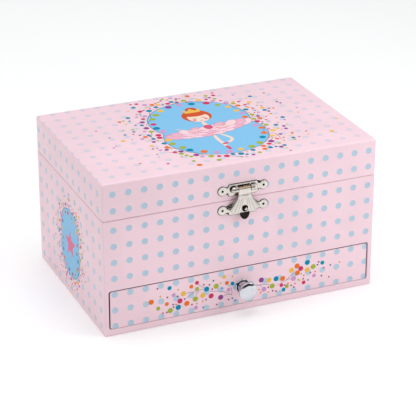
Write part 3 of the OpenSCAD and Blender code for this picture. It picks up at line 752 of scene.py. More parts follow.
def dome_nail(x, y, z, out, radius=1.2, shank=3.4):
    """A nail along Y: pointed shank and a domed head, turned about its axis."""
    a = np.linspace(0, math.pi / 2, 6)
    profile = [(0, -shank), (0.55, -shank + 0.8), (0.6, 0), (radius, 0)]
    profile += [(radius * math.cos(t), 0.12 + 0.38 * math.sin(t)) for t in a]
    points, faces = turned(profile, 20, "y")
    if out < 0:
        points, faces = mirrored(points, faces, (1, -1, 1))
    return points + (x, y, z), faces


def shell_hasp(pivot, neck_w, shell_w, length, thick):
    """The hasp on a grid of t down its length and u across it. Its half width grows from the neck as a power
    of t, the lower edge is an arc, and ridges that fan out from the neck wave its front face."""
    rows, cols = 60, 61
    t = np.linspace(0, 1, rows)[:, None]
    u = np.linspace(-1, 1, cols)[None, :]
    arch = 4.5
    half = neck_w / 2 + (shell_w - neck_w) / 2 * np.clip((t - 0.3) / 0.7, 0, 1) ** 1.25
    x = u * half
    bulge = np.sqrt(np.clip(1 - u ** 2, 0, 1)) * np.clip((t - 0.35) / 0.65, 0, 1) ** 1.5
    z = -(length - arch) * t - arch * bulge
    rise = np.clip((t - 0.32) / 0.25, 0, 1) * np.clip((1 - t) / 0.06, 0, 1)
    ridges = 0.22 * (1 - np.abs(np.cos(u * 4.5 * math.pi))) * rise
    band = 0.1 * np.cos(t * (length - arch) * math.pi / 0.5) * ((t > 0.25) & (t < 0.42))
    rim = np.minimum(np.minimum((1 - np.abs(u)) * half, (1 - t) * 8), 0.35) / 0.35
    y = -thick * (0.55 + 0.45 * np.sqrt(np.clip(rim * (2 - rim), 0, 1))) + ridges - band * rim
    front = np.stack([x, y, z], -1)
    back = np.stack([x, 0 * y, z], -1)
    points, faces = loft(np.concatenate([front, back[:, ::-1]], 1)[::-1])
    # Thin dark tubes laid along the valleys between the ridges and across the band below the neck: painted shade and
    # dark reflections in the flutes.
    flute_shade_lines = []
    for k in (-4, -3, -2, -1, 1, 2, 3, 4):
        j = int(round((k / 4.5 + 1) / 2 * (cols - 1)))
        flute_shade_lines.append(tube(front[int(rows * 0.45):int(rows * 0.97), j] + pivot + (0, 0.02, 0), 0.1, 6))
    for j in range(14, cols - 14, 4):
        lines = front[int(rows * 0.27):int(rows * 0.4):2, j] + pivot
        lines = lines + np.linspace(-0.4, 0.4, len(lines))[:, None] * (1, 0, 0)
        flute_shade_lines.append(tube(lines + (0, 0.02, 0), 0.1, 6))
    return (points + pivot, faces), flute_shade_lines


def clasp_finger(x_half, y_back, y_front, top_z, low_z):
    """The finger tab: a half-round tongue with a raised rim, as outlines drawn in towards the front."""
    a = np.linspace(math.pi, 2 * math.pi, 25)
    depth = top_z - low_z
    outline = np.concatenate([[[x_half, top_z]], [[-x_half, top_z]],
                              np.stack([x_half * np.cos(a), top_z + depth * np.sin(a)], -1)[1:-1]])
    centre = np.array([0, top_z - depth * 0.35])
    rows = [(1.0, y_back), (1.0, y_front + 0.35), (0.93, y_front), (0.78, y_front), (0.7, y_front + 0.35),
            (0.2, y_front + 0.5)]
    return loft([upright(centre + (outline - centre) * scale, y) for scale, y in rows])


def knob_profile(out):
    """Radius against distance from the drawer: foot, waist, flared neck and a flat face with a turned rim."""
    a = np.linspace(0, math.pi / 2, 8)
    rows = [(0, 0), (5.8, 0), (6.0, 0.25), (6.0, 1.0), (5.7, 1.4), (5.2, 1.8), (4.85, 2.8), (4.7, 4.2),
            (4.75, 5.6), (5.2, 7.0), (6.0, 8.3), (6.9, 9.3), (7.6, 10.1), (7.9, 10.9)]
    rows += [(7.4 + 0.55 * math.cos(t), out - 1.5 + 0.65 * math.sin(t)) for t in a]
    rows += [(7.2, out - 0.72), (6.9, out - 0.6), (5.9, out - 0.2), (5.6, out - 0.12), (5.2, out - 0.1),
             (3, out - 0.04), (0, out)]
    return np.array(rows)


# Inside: linings, rolls, mirror, stage and dancer


def lining_sleeve(half_w, half_d, low_z, high_z, thick=0.25):
    """A thin lining on four inner walls: rounded outlines round its section, wrapped into a ring."""
    rows = [(0.0, high_z), (0.0, low_z), (thick, low_z), (thick, high_z)]
    loops = np.array([level(rounded_loop(half_w - inset, half_d - inset, 0.6, 3), z) for inset, z in rows])[::-1]
    return loops.reshape(-1, 3), grid_faces(*loops.shape[:2], wrap_rows=True, wrap_cols=True)


def ring_roll(x0, x1, y, axis_z, base_z, radius, rng):
    """A soft roll along X. Its section has a round top, straight sides and small bottom corners; the section
    shrinks by a quarter circle at both ends, and low waves run along it."""
    a = np.linspace(0, math.pi, 17)
    top = np.stack([radius * np.cos(a), axis_z - base_z + radius * np.sin(a)], -1)
    foot = np.array([(-radius, 1.2), (-radius + 0.35, 0.35), (-radius + 1.2, 0), (0, 0), (radius - 1.2, 0),
                     (radius - 0.35, 0.35), (radius, 1.2)])
    side = np.linspace(1, 0, 6)[1:-1, None] * (0, axis_z - base_z) + (-radius, 1.2 * 0.5)
    section = np.concatenate([top, side, foot, side[::-1] * (-1, 1)])
    middle = np.array([0, (axis_z - base_z + radius) * 0.45])
    t = np.concatenate([np.linspace(0, 0.04, 7), np.linspace(0.05, 0.95, 55), np.linspace(0.96, 1, 7)])[:, None]
    end = np.clip(np.minimum(t, 1 - t) / 0.04, 0, 1)
    scale = 0.8 + 0.2 * np.sqrt(end * (2 - end))
    phase = rng.uniform(0, 6.3, 4)
    angle = np.arctan2(*(section - middle).T)[None, :]
    wave = 1 - 0.008 * (1 + sum(np.sin(k * 9 * t + phase[k - 1] + k * angle) for k in (1, 2, 3)) / 3) * end
    uv = middle + (section - middle)[None] * (scale * wave)[..., None]
    uv[..., 1] = np.maximum(uv[..., 1], 0)
    x = np.broadcast_to(x0 + (x1 - x0) * t, uv.shape[:2])
    loops = np.stack([x, y + uv[..., 0], base_z + uv[..., 1]], -1)
    return loft(loops)


def bevelled_glass(half_w, half_d, back_z, front_z, bevel=4.0):
    """Mirror glass: rectangles from its back down to a flat face inside a ground bevel."""
    rows = [(0.0, back_z), (0.0, front_z + 0.7), (0.25, front_z + 0.5), (bevel, front_z)]
    return loft([level(rounded_loop(half_w - inset, half_d - inset, 0.8, 3), z) for inset, z in rows[::-1]])


def helix(centre, radius, low, high, turns, steps=24):
    """A coil's centre line: a circle that climbs evenly."""
    t = np.linspace(0, 1, int(turns * steps) + 1)
    a = 2 * math.pi * turns * t
    return np.column_stack([centre[0] + radius * np.cos(a), centre[1] + radius * np.sin(a),
                            low + (high - low) * t])


def twisted_cord(path, radius, pitch):
    """Two strands wound round a path: each strand's centre turns about it once every pitch."""
    path = np.asarray(path, float)
    along = np.gradient(path, axis=0)
    length = np.concatenate([[0], np.cumsum(np.linalg.norm(np.diff(path, axis=0), axis=1))])
    along /= np.linalg.norm(along, axis=1)[:, None]
    side = np.cross(along, (0, 0, 1.0))
    over = np.cross(side, along)
    parts = []
    for start in (0, math.pi):
        a = (start + 2 * math.pi * length / pitch)[:, None]
        parts.append(tube(path + radius * 0.5 * (np.cos(a) * side + np.sin(a) * over), radius * 0.55, 8))
    return parts


RUFFLE_ROWS, RUFFLE_COLS = 14, 216


def ruffle(centre, waist_r, hem_r, waist_z, hem_z, folds, depth, phase):
    """A gathered skirt on a grid of s from waist to hem and a round it: the radius grows evenly, the height
    falls with the square of s, and folds swing it up and down more towards the hem."""
    s = np.linspace(0, 1, RUFFLE_ROWS)[:, None]
    a = (np.arange(RUFFLE_COLS) * 2 * math.pi / RUFFLE_COLS)[None, :]
    swing = np.sin(folds * a + phase) + 0.35 * np.sin(2 * folds * a + 1.3 * phase)
    radius = waist_r + (hem_r - waist_r) * s * (1 + 0.02 * np.cos(folds * a + phase))
    z = waist_z + (hem_z - waist_z) * s ** 1.8 + depth * s ** 1.3 * swing
    points = np.stack([centre[0] + radius * np.cos(a), centre[1] + radius * np.sin(a), z], -1)
    return points.reshape(-1, 3), grid_faces(RUFFLE_ROWS, RUFFLE_COLS, wrap_cols=True)


def limb(points, radii):
    """An arm or leg: a tube along a smooth path, its radius following the given ones."""
    path = smooth_path(points, 8)
    radius = np.interp(np.linspace(0, 1, len(path)), np.linspace(0, 1, len(radii)), radii)
    ends = [ball(path[0], radius[0], 8, 14), ball(path[-1], radius[-1], 8, 14)]
    return [tube(path, radius, 14, up=(0, 1, 0.2)), *ends]


# Settings


def colour(name, description, code):
    return FloatVectorProperty(name=name, description=description, subtype="COLOR", size=3, min=0.0, max=1.0,
                               default=ink(code))


class CoverSettings(bpy.types.PropertyGroup):
    """Colours and dots of the covering paper."""

    paper: colour("Paper", "Ground colour of the printed paper", "F2D1DC")
    dot: colour("Dots", "Colour of the printed dots", "A9C4D8")
    oval: colour("Ovals", "Colour of the printed ovals", "86C4EC")
    inside: colour("Inside paper", "Colour of the paper inside the box", "F7DDE4")
    lining: colour("Lining", "Colour of the flocked lining", "F3CFDA")
    dot_size: FloatProperty(name="Dot diameter", description="Diameter of the printed dots", unit="LENGTH",
                            min=0.002, max=0.009, default=5.4 * MM)


class PrintSettings(bpy.types.PropertyGroup):
    """The scattered prints."""

    seed: IntProperty(name="Seed", description="Changes where the scattered dots fall", min=0, default=7)
    berries: IntProperty(name="Berries", description="Number of large dots strung round the lid's oval", min=20,
                         max=120, default=62)


class StudioSettings(bpy.types.PropertyGroup):
    """Light and floor."""

    key: FloatProperty(name="Key light", description="Power of the soft light from the upper right",
                       unit="POWER", min=0.0, default=1.25)
    left: FloatProperty(name="Left light", description="Power of the weaker light on the left", unit="POWER",
                        min=0.0, default=1.25)
    top: FloatProperty(name="Top light", description="Power of the light above", unit="POWER",
                       min=0.0, default=17.0)
    fill: FloatProperty(name="Surrounding light", description="Brightness of the surroundings", min=0.0,
                        default=0.57)
    floor: colour("Floor", "Colour of the floor", "FEFEFE")


class BoxSettings(bpy.types.PropertyGroup):
    """All settings of the jewellery box."""

    covers: PointerProperty(type=CoverSettings, name="Covers", description="Paper and lining")
    prints: PointerProperty(type=PrintSettings, name="Prints", description="Scattered prints")
    studio: PointerProperty(type=StudioSettings, name="Studio", description="Light and floor")


def settings():
    return bpy.context.scene.jewellery_box


# Steps between dots, across and up, on the faces that look along Y, X and Z
FRONT_STEPS, SIDE_STEPS, TOP_STEPS = (13.18, 14.05), (14.4, 14.0), (13.45, 14.35)


def paper(name, front_z, side_y, side_z):
    """The covering paper, with its dots lined up on a front dot's height and a side dot's place."""
    c = settings().covers
    return printed_paper(name, tuple(c.paper), tuple(c.dot), (*FRONT_STEPS, 7.7, front_z),
                         (*SIDE_STEPS, side_y, side_z), (*TOP_STEPS, 1.1, 4.2), c.dot_size / MM)


# Looks that follow the settings, or that need no colour
MAKERS = {
    "Case_Paper": lambda n: paper(n, 92.8, 0.0, 91.0),
    "Lid_Paper": lambda n: paper(n, 109.5, 2.0, 108.0),
    "Inside_Paper": lambda n: plain_paper(n, tuple(settings().covers.inside), ink("EDBECB")),
    "Flock_Lining": lambda n: flock(n, tuple(settings().covers.lining)),
    "Ink_Oval": lambda n: printed_ink(n, tuple(settings().covers.oval), 0.32),
    "Mirror_Silver": silvered,
}

# The other looks: (function, colour, its further values)
LOOKS = {
    "Roll_Velvet": (flock, "E9A8BC"),
    "Fibreboard": (fibreboard, "A97F58"),
    "Champagne_Nickel": (metal, "D3CDC6", 0.13),
    # Nickel darkened to paint shade and dark reflections: outlines round the clasp plates, shade round the knuckles
    # and over the hasp barrel, lines in the hasp's flutes, the finger tab, the rivet's ring and the knob's waist; the
    # clasp nails are drawn in it too.
    "Dark_Nickel": (metal, "2A2624", 0.25),
    "Polished_Chrome": (metal, "CFD2D8", 0.06),
    "Yellow_Brass": (metal, "C9A150", 0.24, 0.06),
    "Blued_Steel": (metal, "8D939B", 0.28, 0.1, (200.0, 2500.0, 200.0)),
    "Cast_Zinc": (metal, "A9A9AB", 0.42, 0.1),
    "Skin_Plastic": (moulded, "F3CDB4", 0.32, 0.15),
    "Bodice_Plastic": (moulded, "E58CA6"),
    "Hair_Plastic": (moulded, "8A4A2B", 0.35),
    "Turntable_Plastic": (moulded, "F7EFEA"),
    "Governor_Plastic": (moulded, "D9772F", 0.35),
    "Pink_Tulle": (net, "F3B3C4"),
    # dark edge of the drawer front: painted shadow of the gap, and the bare board's darker colour
    "Edge_Band": (printed_ink, "33263A", 0.7),
    "Ink_Outline": (printed_ink, "6B6477"),
    "Ink_Vine": (printed_ink, "8C7A93"),
    "Ink_Star": (printed_ink, "E8739C"),
    "Ink_Skin": (printed_ink, "F6D9C8"),
    "Ink_Hair": (printed_ink, "D2562F"),
    "Ink_Petal": (printed_ink, "F6D3DE"),
    "Ink_Petal_Deep": (printed_ink, "EBB3C6"),
    "Ink_Petal_Line": (printed_ink, "D886A2"),
    "Ink_Bodice": (printed_ink, "D9577D"),
    "Ink_Line": (printed_ink, "5B3A3A"),
    "Ink_Halo": (printed_ink, "BFDCE8"),
    **{"Ink_" + name: (printed_ink, code) for name, code in INKS.items()},
}

# The slot of each look
SLOTS = {
    "Inside_Paper": "inner_paper",
    "Roll_Velvet": "roll_fabric",
    "Champagne_Nickel": "nickel",
    "Dark_Nickel": "nickel",
    "Polished_Chrome": "chrome",
    "Yellow_Brass": "brass",
    "Blued_Steel": "steel",
    "Mirror_Silver": "mirror_glass",
    "Pink_Tulle": "tulle",
    **dict.fromkeys(("Skin_Plastic", "Bodice_Plastic", "Hair_Plastic", "Turntable_Plastic"), "figure_plastic"),
}

# CAD nodes that are shown as they are
PLAIN_NODES = {
    "Fibreboard": ["bottom_panel", "drawer_runners", "deck", "drawer_bottom", "lid_striker"],
    "Inside_Paper": ["stage_top", "stage_walls"],
    "Flock_Lining": ["tray_lining", "lid_lining", "drawer_lining"],
    "Champagne_Nickel": ["body_hinge_leaves", "lid_hinge_leaves", "hinge_pins"],
    "Yellow_Brass": ["clasp_pin", "spindle_bush", "comb_screws", "crown_wheel", "pin_cylinder"],
    "Blued_Steel": ["knob_screw", "bedplate_screws", "mainspring", "comb", "winding_arbor", "spindle",
                    "stop_rod"],
    "Cast_Zinc": ["bedplate", "governor_bracket", "spring_barrel"],
    "Governor_Plastic": ["governor_fan"],
}


def finish(name):
    """The named look's material, made on first use."""
    known = bpy.data.materials.get(name)
    if known:
        return known
    if name in MAKERS:
        return MAKERS[name](name)
    maker, code, *values = LOOKS[name]
    return maker(name, ink(code), *values)


# Operators


class BoxOperator:
    """Common part of the operators: builds, and reports success."""

    bl_options = {"REGISTER", "UNDO"}

    def execute(self, context):
        self.build(context.scene.jewellery_box)
        return {"FINISHED"}


class JEWEL_OT_case(BoxOperator, bpy.types.Operator):
    """Cover the case with printed paper."""

    bl_idname = "jewel.case"
    bl_label = "Case Covering"

    def build(self, box):
        inner = HALF_W - BOARD
        opening = ((inner, (OPENING[1] - OPENING[0]) / 2), (OPENING[0] + OPENING[1]) / 2)
        hole_low, hole_high = corners("winding_key")
        hole_z = float(hole_low[2] + hole_high[2]) / 2
        parts = [
            window_wall((COVER_W, RIM_Z / 2), RIM_Z / 2, opening[0], opening[1], 2.0, -HALF_D, BOARD - HALF_D),
            window_wall((COVER_W, RIM_Z / 2), RIM_Z / 2, (4, 4), hole_z, 4.0, HALF_D, HALF_D - BOARD),
            side_wall(-1), side_wall(1),
        ]
        piece("case_covering", parts, "Case_Paper", "case", ("front_panel", "front_rail", "left_side",
              "right_side", "back_panel"))
        self.key(float(hole_low[1]), float(hole_high[1]), hole_z)

    def key(self, near, far, z):
        """The butterfly key from near to far along Y, and the eyelet round its hole in the back."""
        stem = turned([(0, near), (1.9, near), (1.9, near + 5), (2.9, near + 5.4), (2.9, near + 8.6),
                       (2.4, near + 9.2), (0, near + 9.2)], 32, "y", (0, 0, z))
        a = np.arange(48) * 2 * math.pi / 48
        wing = np.stack([4.75 + 3.2 * np.cos(a), far - 5.1 + (4.0 + 0.5 * np.cos(a)) * np.sin(a)], -1)
        bow = [tube(level(wing * (side, 1), z), 1.05, 14, closed=True) for side in (-1, 1)]
        web = bar((-2.6, near + 7.5, z - 0.9), (2.6, far - 2.4, z + 0.9), 0.5)
        piece("butterfly_key", [stem, *bow, web], "Yellow_Brass", "key", ("winding_key",))
        ring = [(4.0, -1.0), (4.4, -1.0), (4.4, -0.02), (6.6, 0.0), (6.2, 0.45), (4.4, 0.6), (4.0, 0.3),
                (4.0, -1.0)]
        piece("key_eyelet", [turned(ring, 40, "y", (0, HALF_D, z))], "Yellow_Brass", "case")


class JEWEL_OT_lid(BoxOperator, bpy.types.Operator):
    """Cover the lid with printed paper."""

    bl_idname = "jewel.lid"
    bl_label = "Lid Covering"

    def build(self, box):
        piece("lid_covering", [lid_shell()], "Lid_Paper", "lid", ("lid_top", "lid_front", "lid_back",
              "lid_left", "lid_right"))


class JEWEL_OT_drawer(BoxOperator, bpy.types.Operator):
    """Cover the drawer's front and print its berries and vines."""

    bl_idname = "jewel.drawer"
    bl_label = "Drawer Front"

    def build(self, box):
        piece("drawer_covering", [face_board(FRONT_LOW, FRONT_HIGH, 1.8, 0.7)], "Case_Paper", "drawer",
              ("drawer_front",))
        middle, half = (FRONT_LOW + FRONT_HIGH) / 2, (FRONT_HIGH - FRONT_LOW) / 2
        # A dark band round the drawer front's edges, from back to front: painted shadow of the gap round the drawer,
        # and the darker colour of the bare board edge.
        back, front = FRONT_HIGH[1] - 0.1, FRONT_LOW[1] + 0.5
        band = np.array([upright(rounded_loop(half[0] + grow, half[2] + grow, 1.8 + grow), y, middle[0], middle[2])
                         for grow, y in ((0.0, back), (0.06, back), (0.06, front), (0.0, front))])
        piece("drawer_edge_gap_shade", [(band.reshape(-1, 3), grid_faces(*band.shape[:2], True, True))],
              "Edge_Band", "drawer")
        groups = {name: [] for name in INKS}
        halos = []
        for table, size, steps in ((LARGE_BERRIES, 4.6, 28), (MEDIUM_BERRIES, 3.5, 24),
                                   (SMALL_BERRIES, 1.6, 14)):
            for name, places in table.items():
                groups[name] += berries(DRAWER_FACE, places, size, LAYER, steps)
                if name == "teal" and size > 3:
                    halos += berries(DRAWER_FACE, places, size + 0.9, 0.0, steps)
        print_piece("drawer_berries", groups, "drawer")
        piece("drawer_berry_halos", halos, "Ink_Halo", "drawer")
        vines = [stroke(DRAWER_FACE, smooth_path(v), 0.34, 0.0, LAYER * 0.8) for v in DRAWER_VINES]
        piece("drawer_vines", vines, "Ink_Vine", "drawer")


class JEWEL_OT_lid_print(BoxOperator, bpy.types.Operator):
    """Print the lid's oval, its dancer, berries, vines and scattered dots."""

    bl_idname = "jewel.lid_print"
    bl_label = "Lid Print"

    def build(self, box):
        rng = np.random.default_rng(box.prints.seed)
        outline = lobed_outline(-2.0, ((16.2, 43.5, 42.5), (-20.3, 44.0, 40.5)))
        top = Face((PRINT_X, 0, COVER_Z), (1, 0, 0), (0, 1, 0))
        piece("lid_oval", [prism(top, outline, 0.0, LAYER)], "Ink_Oval", "lid")
        lines = [outline_band(top, outline, 0.5, LAYER)]
        for start, end, off in ((0.02, 0.16, 3.2), (0.17, 0.3, -2.6), (0.3, 0.44, 3.0), (0.55, 0.7, 2.8),
                                (0.84, 0.97, 3.4)):
            i = np.arange(int(start * len(outline)), int(end * len(outline)))
            wave = off * np.sin(np.linspace(0, 2.5 * math.pi, len(i)))
            path = np.array([grown(outline, w)[k] for k, w in zip(i, wave)])
            lines.append(stroke(top, path, 0.4, LAYER, 2 * LAYER))
        for k, (at, way) in enumerate(zip(range(4, 160, 14), (1, -1, 1, 1, -1, 1, -1, -1, 1, 1, -1, 1))):
            reach = (5.0, 8.0, 10.5 + 1.5 * (k % 3))
            curl = [grown(outline, away)[(at + way * turn) % len(outline)]
                    for away, turn in zip((0.0, *reach), (0, 1, 3, 6))]
            lines.append(stroke(top, smooth_path(curl), 0.34, LAYER, 2 * LAYER))
        piece("lid_vines", lines, "Ink_Outline", "lid")
        groups = scattered(top, outline, rng, box.prints.berries, (5.9, 4.9), (190, 7.0), (210, 12.5),
                           ((-108, -74), (108, 74)))
        print_piece("lid_berries", groups, "lid")
        self.dancer(top)

    def dancer(self, face):
        """A dancer of plain shapes: petals fanned from the waist, limbs as tapered strokes, an oval head."""
        low = [LAYER * k for k in range(1, 8)]
        petals, rims = {"": [], "_deep": []}, []
        rows = ((8, 34.0, -15.0, 7.6), (7, 28.5, -10.5, 7.8), (6, 21.0, -6.5, 7.2), (4, 10.0, -3.5, 6.2))
        k = 0
        for row, (count, reach, drop, size) in enumerate(rows):
            for x in np.linspace(-reach, reach, count):
                bow = math.cos(x / reach * 1.35)
                outline = ellipse((x + 0.8, drop * (0.32 + 0.68 * bow) + 0.14 * x), (size, size * 0.62), 28,
                                  38 * x / reach + 8)
                top = low[2] + LAYER * (0.3 + 0.045 * k)
                petals["_deep" if (row + k) % 3 == 0 else ""].append(prism(face, outline, low[1], top))
                rims.append(outline_band(face, outline, 0.55, top - LAYER * 0.978))
                k += 1
        skin = [stroke(face, smooth_path([(-1.5, -16), (-2.5, -30), (-1.5, -42), (-1.2, -50)]), 3.0, low[0], low[1]),
                stroke(face, smooth_path([(2, -16), (7, -25), (9, -32), (5, -37), (-0.5, -39)]), 2.6, low[0], low[1]),
                stroke(face, smooth_path([(-3, -1), (-11, -5), (-20, -2), (-27, 5)]), 1.6, low[3], low[4]),
                stroke(face, smooth_path([(4, -1), (12, -5), (21, -2), (28, 5)]), 1.6, low[3], low[4]),
                prism(face, ellipse((0.8, 5), (1.9, 6), 20), low[2], low[3]),
                prism(face, ellipse((1.5, 21.5), (9.4, 10.4), 40), low[4], low[5])]
        shoes = [stroke(face, smooth_path([(-1.6, -44), (-1.3, -49), (-1.2, -53)]), 3.2, low[1], low[2]),
                 stroke(face, smooth_path([(3, -38), (0, -39.5), (-3, -40)]), 2.8, low[1], low[2]),
                 prism(face, ellipse((0.8, -1.5), (3.9, 4.6), 28), low[5], low[6])]
        hair = [prism(face, ellipse((1.5, 25), (12.8, 13.2), 44), low[2], low[3]),
                prism(face, ellipse((1.5, 29.5), (10.4, 5.4), 36), low[5], low[6]),
                prism(face, ellipse((2.5, 40.5), (5.2, 4.6), 28), low[2], low[3])]
        crown = [prism(face, [(-5, 33), (8, 33), (10, 41), (5.2, 37), (1.5, 42.5), (-2.2, 37), (-7, 41)],
                       low[5], low[6] + 0.4 * LAYER)]
        lines = [stroke(face, smooth_path([(x - 2, 20.4), (x, 19.6), (x + 2, 20.4)], 6), 0.5, low[5], low[6])
                 for x in (-2.4, 5.4)]
        cheeks = [prism(face, ellipse((x, 16.8), 1.6, 18), low[5], low[5] + LAYER / 2) for x in (-3.6, 6.6)]
        cheeks += [prism(face, ellipse((1.5, 14.4), (1.1, 0.7), 14), low[5], low[6])]
        for name, parts, ink_name in (
                ("petals", petals[""], "Petal"), ("petals_deep", petals["_deep"], "Petal_Deep"),
                ("petal_rims", rims, "Petal_Line"), ("limbs", skin, "Skin"),
                ("bodice", shoes, "Bodice"), ("hair", hair, "Hair"), ("crown", crown, "yellow"),
                ("lashes", lines, "Line"), ("cheeks", cheeks, "Star")):
            piece("lid_dancer_" + name, parts, "Ink_" + ink_name, "lid")


class JEWEL_OT_side_print(BoxOperator, bpy.types.Operator):
    """Print an oval with a star and dots on both sides of the case."""

    bl_idname = "jewel.side_print"
    bl_label = "Side Prints"

    def build(self, box):
        for side, face in (("left", LEFT_FACE), ("right", RIGHT_FACE)):
            rng = np.random.default_rng(box.prints.seed + len(side))
            outline = lobed_outline(47.5, ((58.0, 22.5, 20.5), (38.5, 23.0, 21.0)), 96)
            piece(f"{side}_oval", [prism(face, outline, 0.0, LAYER)], "Ink_Oval", "case")
            piece(f"{side}_outline", [outline_band(face, outline, 0.5, LAYER)], "Ink_Outline", "case")
            a = np.radians(90 + 36 * np.arange(10))
            r = np.where(np.arange(10) % 2, 5.7, 12.8)
            star = np.stack([r * np.cos(a), 47.2 + r * np.sin(a)], -1)
            piece(f"{side}_star", [prism(face, star, LAYER, 2 * LAYER)], "Ink_Star", "case")
            groups = scattered(face, outline, rng, 44, (3.4, 2.9), (70, 2.6), (260, 4.4),
                               ((-60, 3), (60, 96)), 0.66)
            print_piece(f"{side}_berries", groups, "case")


class JEWEL_OT_clasp(BoxOperator, bpy.types.Operator):
    """Build the clasp: plates, domed knuckles, shell hasp, rivet and nails."""

    bl_idname = "jewel.clasp"
    bl_label = "Clasp"

    def build(self, box):
        nickel, dark = "Champagne_Nickel", "Dark_Nickel"
        low, high = corners("clasp_plate")
        pin_low, pin_high = corners("clasp_pin")
        y, z = float(pin_low[1] + pin_high[1]) / 2, float(pin_low[2] + pin_high[2]) / 2
        nail_z = z - 0.7
        front = CLASP_FRONT
        plate = eared_plate(nail_z, float(low[2]), float(high[2]), 26, -HALF_D, front)
        piece("clasp_upper_plate", [plate, knuckle(-1, y, z, front), knuckle(1, y, z, front)], nickel, "lid",
              ("clasp_plate",))
        low, high = corners("catch_plate")
        catch_z = RIM_Z - 7.8
        fingers = [bar((x - 0.4, front - 1.6, catch_z - 1.1), (x + 0.4, front + 0.1, catch_z + 2.9), 0.3)
                   for x in (-2.3, 2.3)]
        piece("clasp_catch_plate", [eared_plate(catch_z, float(low[2]), float(high[2]), 25, -HALF_D, front),
              *fingers], nickel, "case", ("catch_plate",))
        # Dark outlines just behind the two plates, a little larger than them: painted shade and dark edge reflections
        # round the plates.
        for name, node, height, body, width in (("clasp_upper_edge_shade", "clasp_plate", nail_z, "lid", 26),
                                                ("clasp_catch_edge_shade", "catch_plate", catch_z, "case", 25)):
            low, high = corners(node)
            plate_edge_shade = eared_plate(height, float(low[2]), float(high[2]), width, -HALF_D, -HALF_D - 0.35, 0.42)
            piece(name, [plate_edge_shade], dark, body)
        stripe = tube(np.linspace((-5.1, y - 0.75, z + 1.35), (5.1, y - 0.75, z + 1.35), 9), 0.32, 10)
        piece("clasp_hasp_wire", [stripe], "Yellow_Brass", "hasp")
        halos = [ball((s * 8.75, front - 0.05, z - 0.1), (3.2, 0.75, 3.0), 12, 28) for s in (-1, 1)]
        piece("clasp_knuckle_shade", halos, dark, "lid")
        # A dark bar on the plate just above the hasp barrel: painted shadow of the gap between the barrel and the
        # plate.
        slot = bar((-5.2, front - 0.12, z + 1.5), (5.2, front + 0.1, z + 2.9), 0.05)
        piece("clasp_barrel_gap_shadow", [slot], dark, "lid")
        for name, node, height, body in (("clasp_upper_nails", "clasp_nails", nail_z, "lid"),
                                         ("clasp_catch_nails", "catch_nails", catch_z, "case")):
            nails = [dome_nail(side * CLASP_NAIL_X, front, height, -1, 1.0) for side in (-1, 1)]
            piece(name, nails, dark, body, (node,))
        barrel = turned([(0, -5.3), (1.35, -5.3), (1.6, -5.05), (1.6, 5.05), (1.35, 5.3), (0, 5.3)], 28, "x",
                        (0, y, z))
        shell, flute_shade_lines = shell_hasp((0, y - 0.4, z), 10.6, 27.6, 21.0, 1.0)
        piece("clasp_hasp", [shell], nickel, "hasp", ("hasp",), sharp=50)
        piece("clasp_hasp_barrel", [barrel], nickel, "hasp")
        # The dark lines in the hasp's flutes are painted shade and dark reflections.
        piece("clasp_hasp_flute_shade", flute_shade_lines, dark, "hasp")
        # The finger tab is drawn dark all over: a painted dark reflection on its mirror-bright face.
        finger = clasp_finger(4.1, y - 0.4, y - 2.1, z - 20.4, z - 26.3)
        piece("clasp_finger_tab", [finger], dark, "hasp")
        # The rivet's head is dark, a painted dark ring. The nickel dome set off-centre towards the lower right paints
        # its highlight, and a nickel hoop rings it.
        rivet_z = z - 16.7
        head = [(0, 1.6), (1.2, 1.6), (1.6, 1.2), (1.6, -0.4), (1.2, -0.4), (1.2, -1.35), (2.4, -1.35),
                (2.6, -1.55), (2.6, -1.95), (2.35, -2.15), (2.1, -2.05), (1.9, -1.95), (1.75, -2.6), (1.3, -2.8), (0, -2.88)]
        points, faces = turned(head[::-1], 32, "y", (0, y, rivet_z))
        piece("clasp_rivet", [(points, faces)], dark, "hasp", ("hasp_rivet",))
        piece("clasp_rivet_highlight_dome", [ball((0.35, y - 2.2, rivet_z - 0.15), (1.5, 0.95, 1.5), 14, 28)], nickel,
              "hasp")
        piece("clasp_rivet_ring", [hoop(y - 1.5, rivet_z, 2.75, 0.26, 40, 8)], nickel, "hasp")


class JEWEL_OT_knob(BoxOperator, bpy.types.Operator):
    """Turn the drawer's knob."""

    bl_idname = "jewel.knob"
    bl_label = "Drawer Knob"

    def build(self, box):
        low, high = corners("knob")
        points, faces = mirrored(*turned(knob_profile(float(high[1] - low[1])), 72, "y"), (1, -1, 1))
        piece("drawer_knob", [(points + (0, -HALF_D, KNOB_Z), faces)], "Polished_Chrome", "drawer", ("knob",))
        # A dark ring round the knob's narrow waist: painted shade and dark reflection there, not a separate part.
        waist_dark_ring = hoop(-HALF_D - 2.1, KNOB_Z, 5.2, 0.5, 48, 10)
        piece("drawer_knob_waist_shade", [waist_dark_ring], "Dark_Nickel", "drawer")


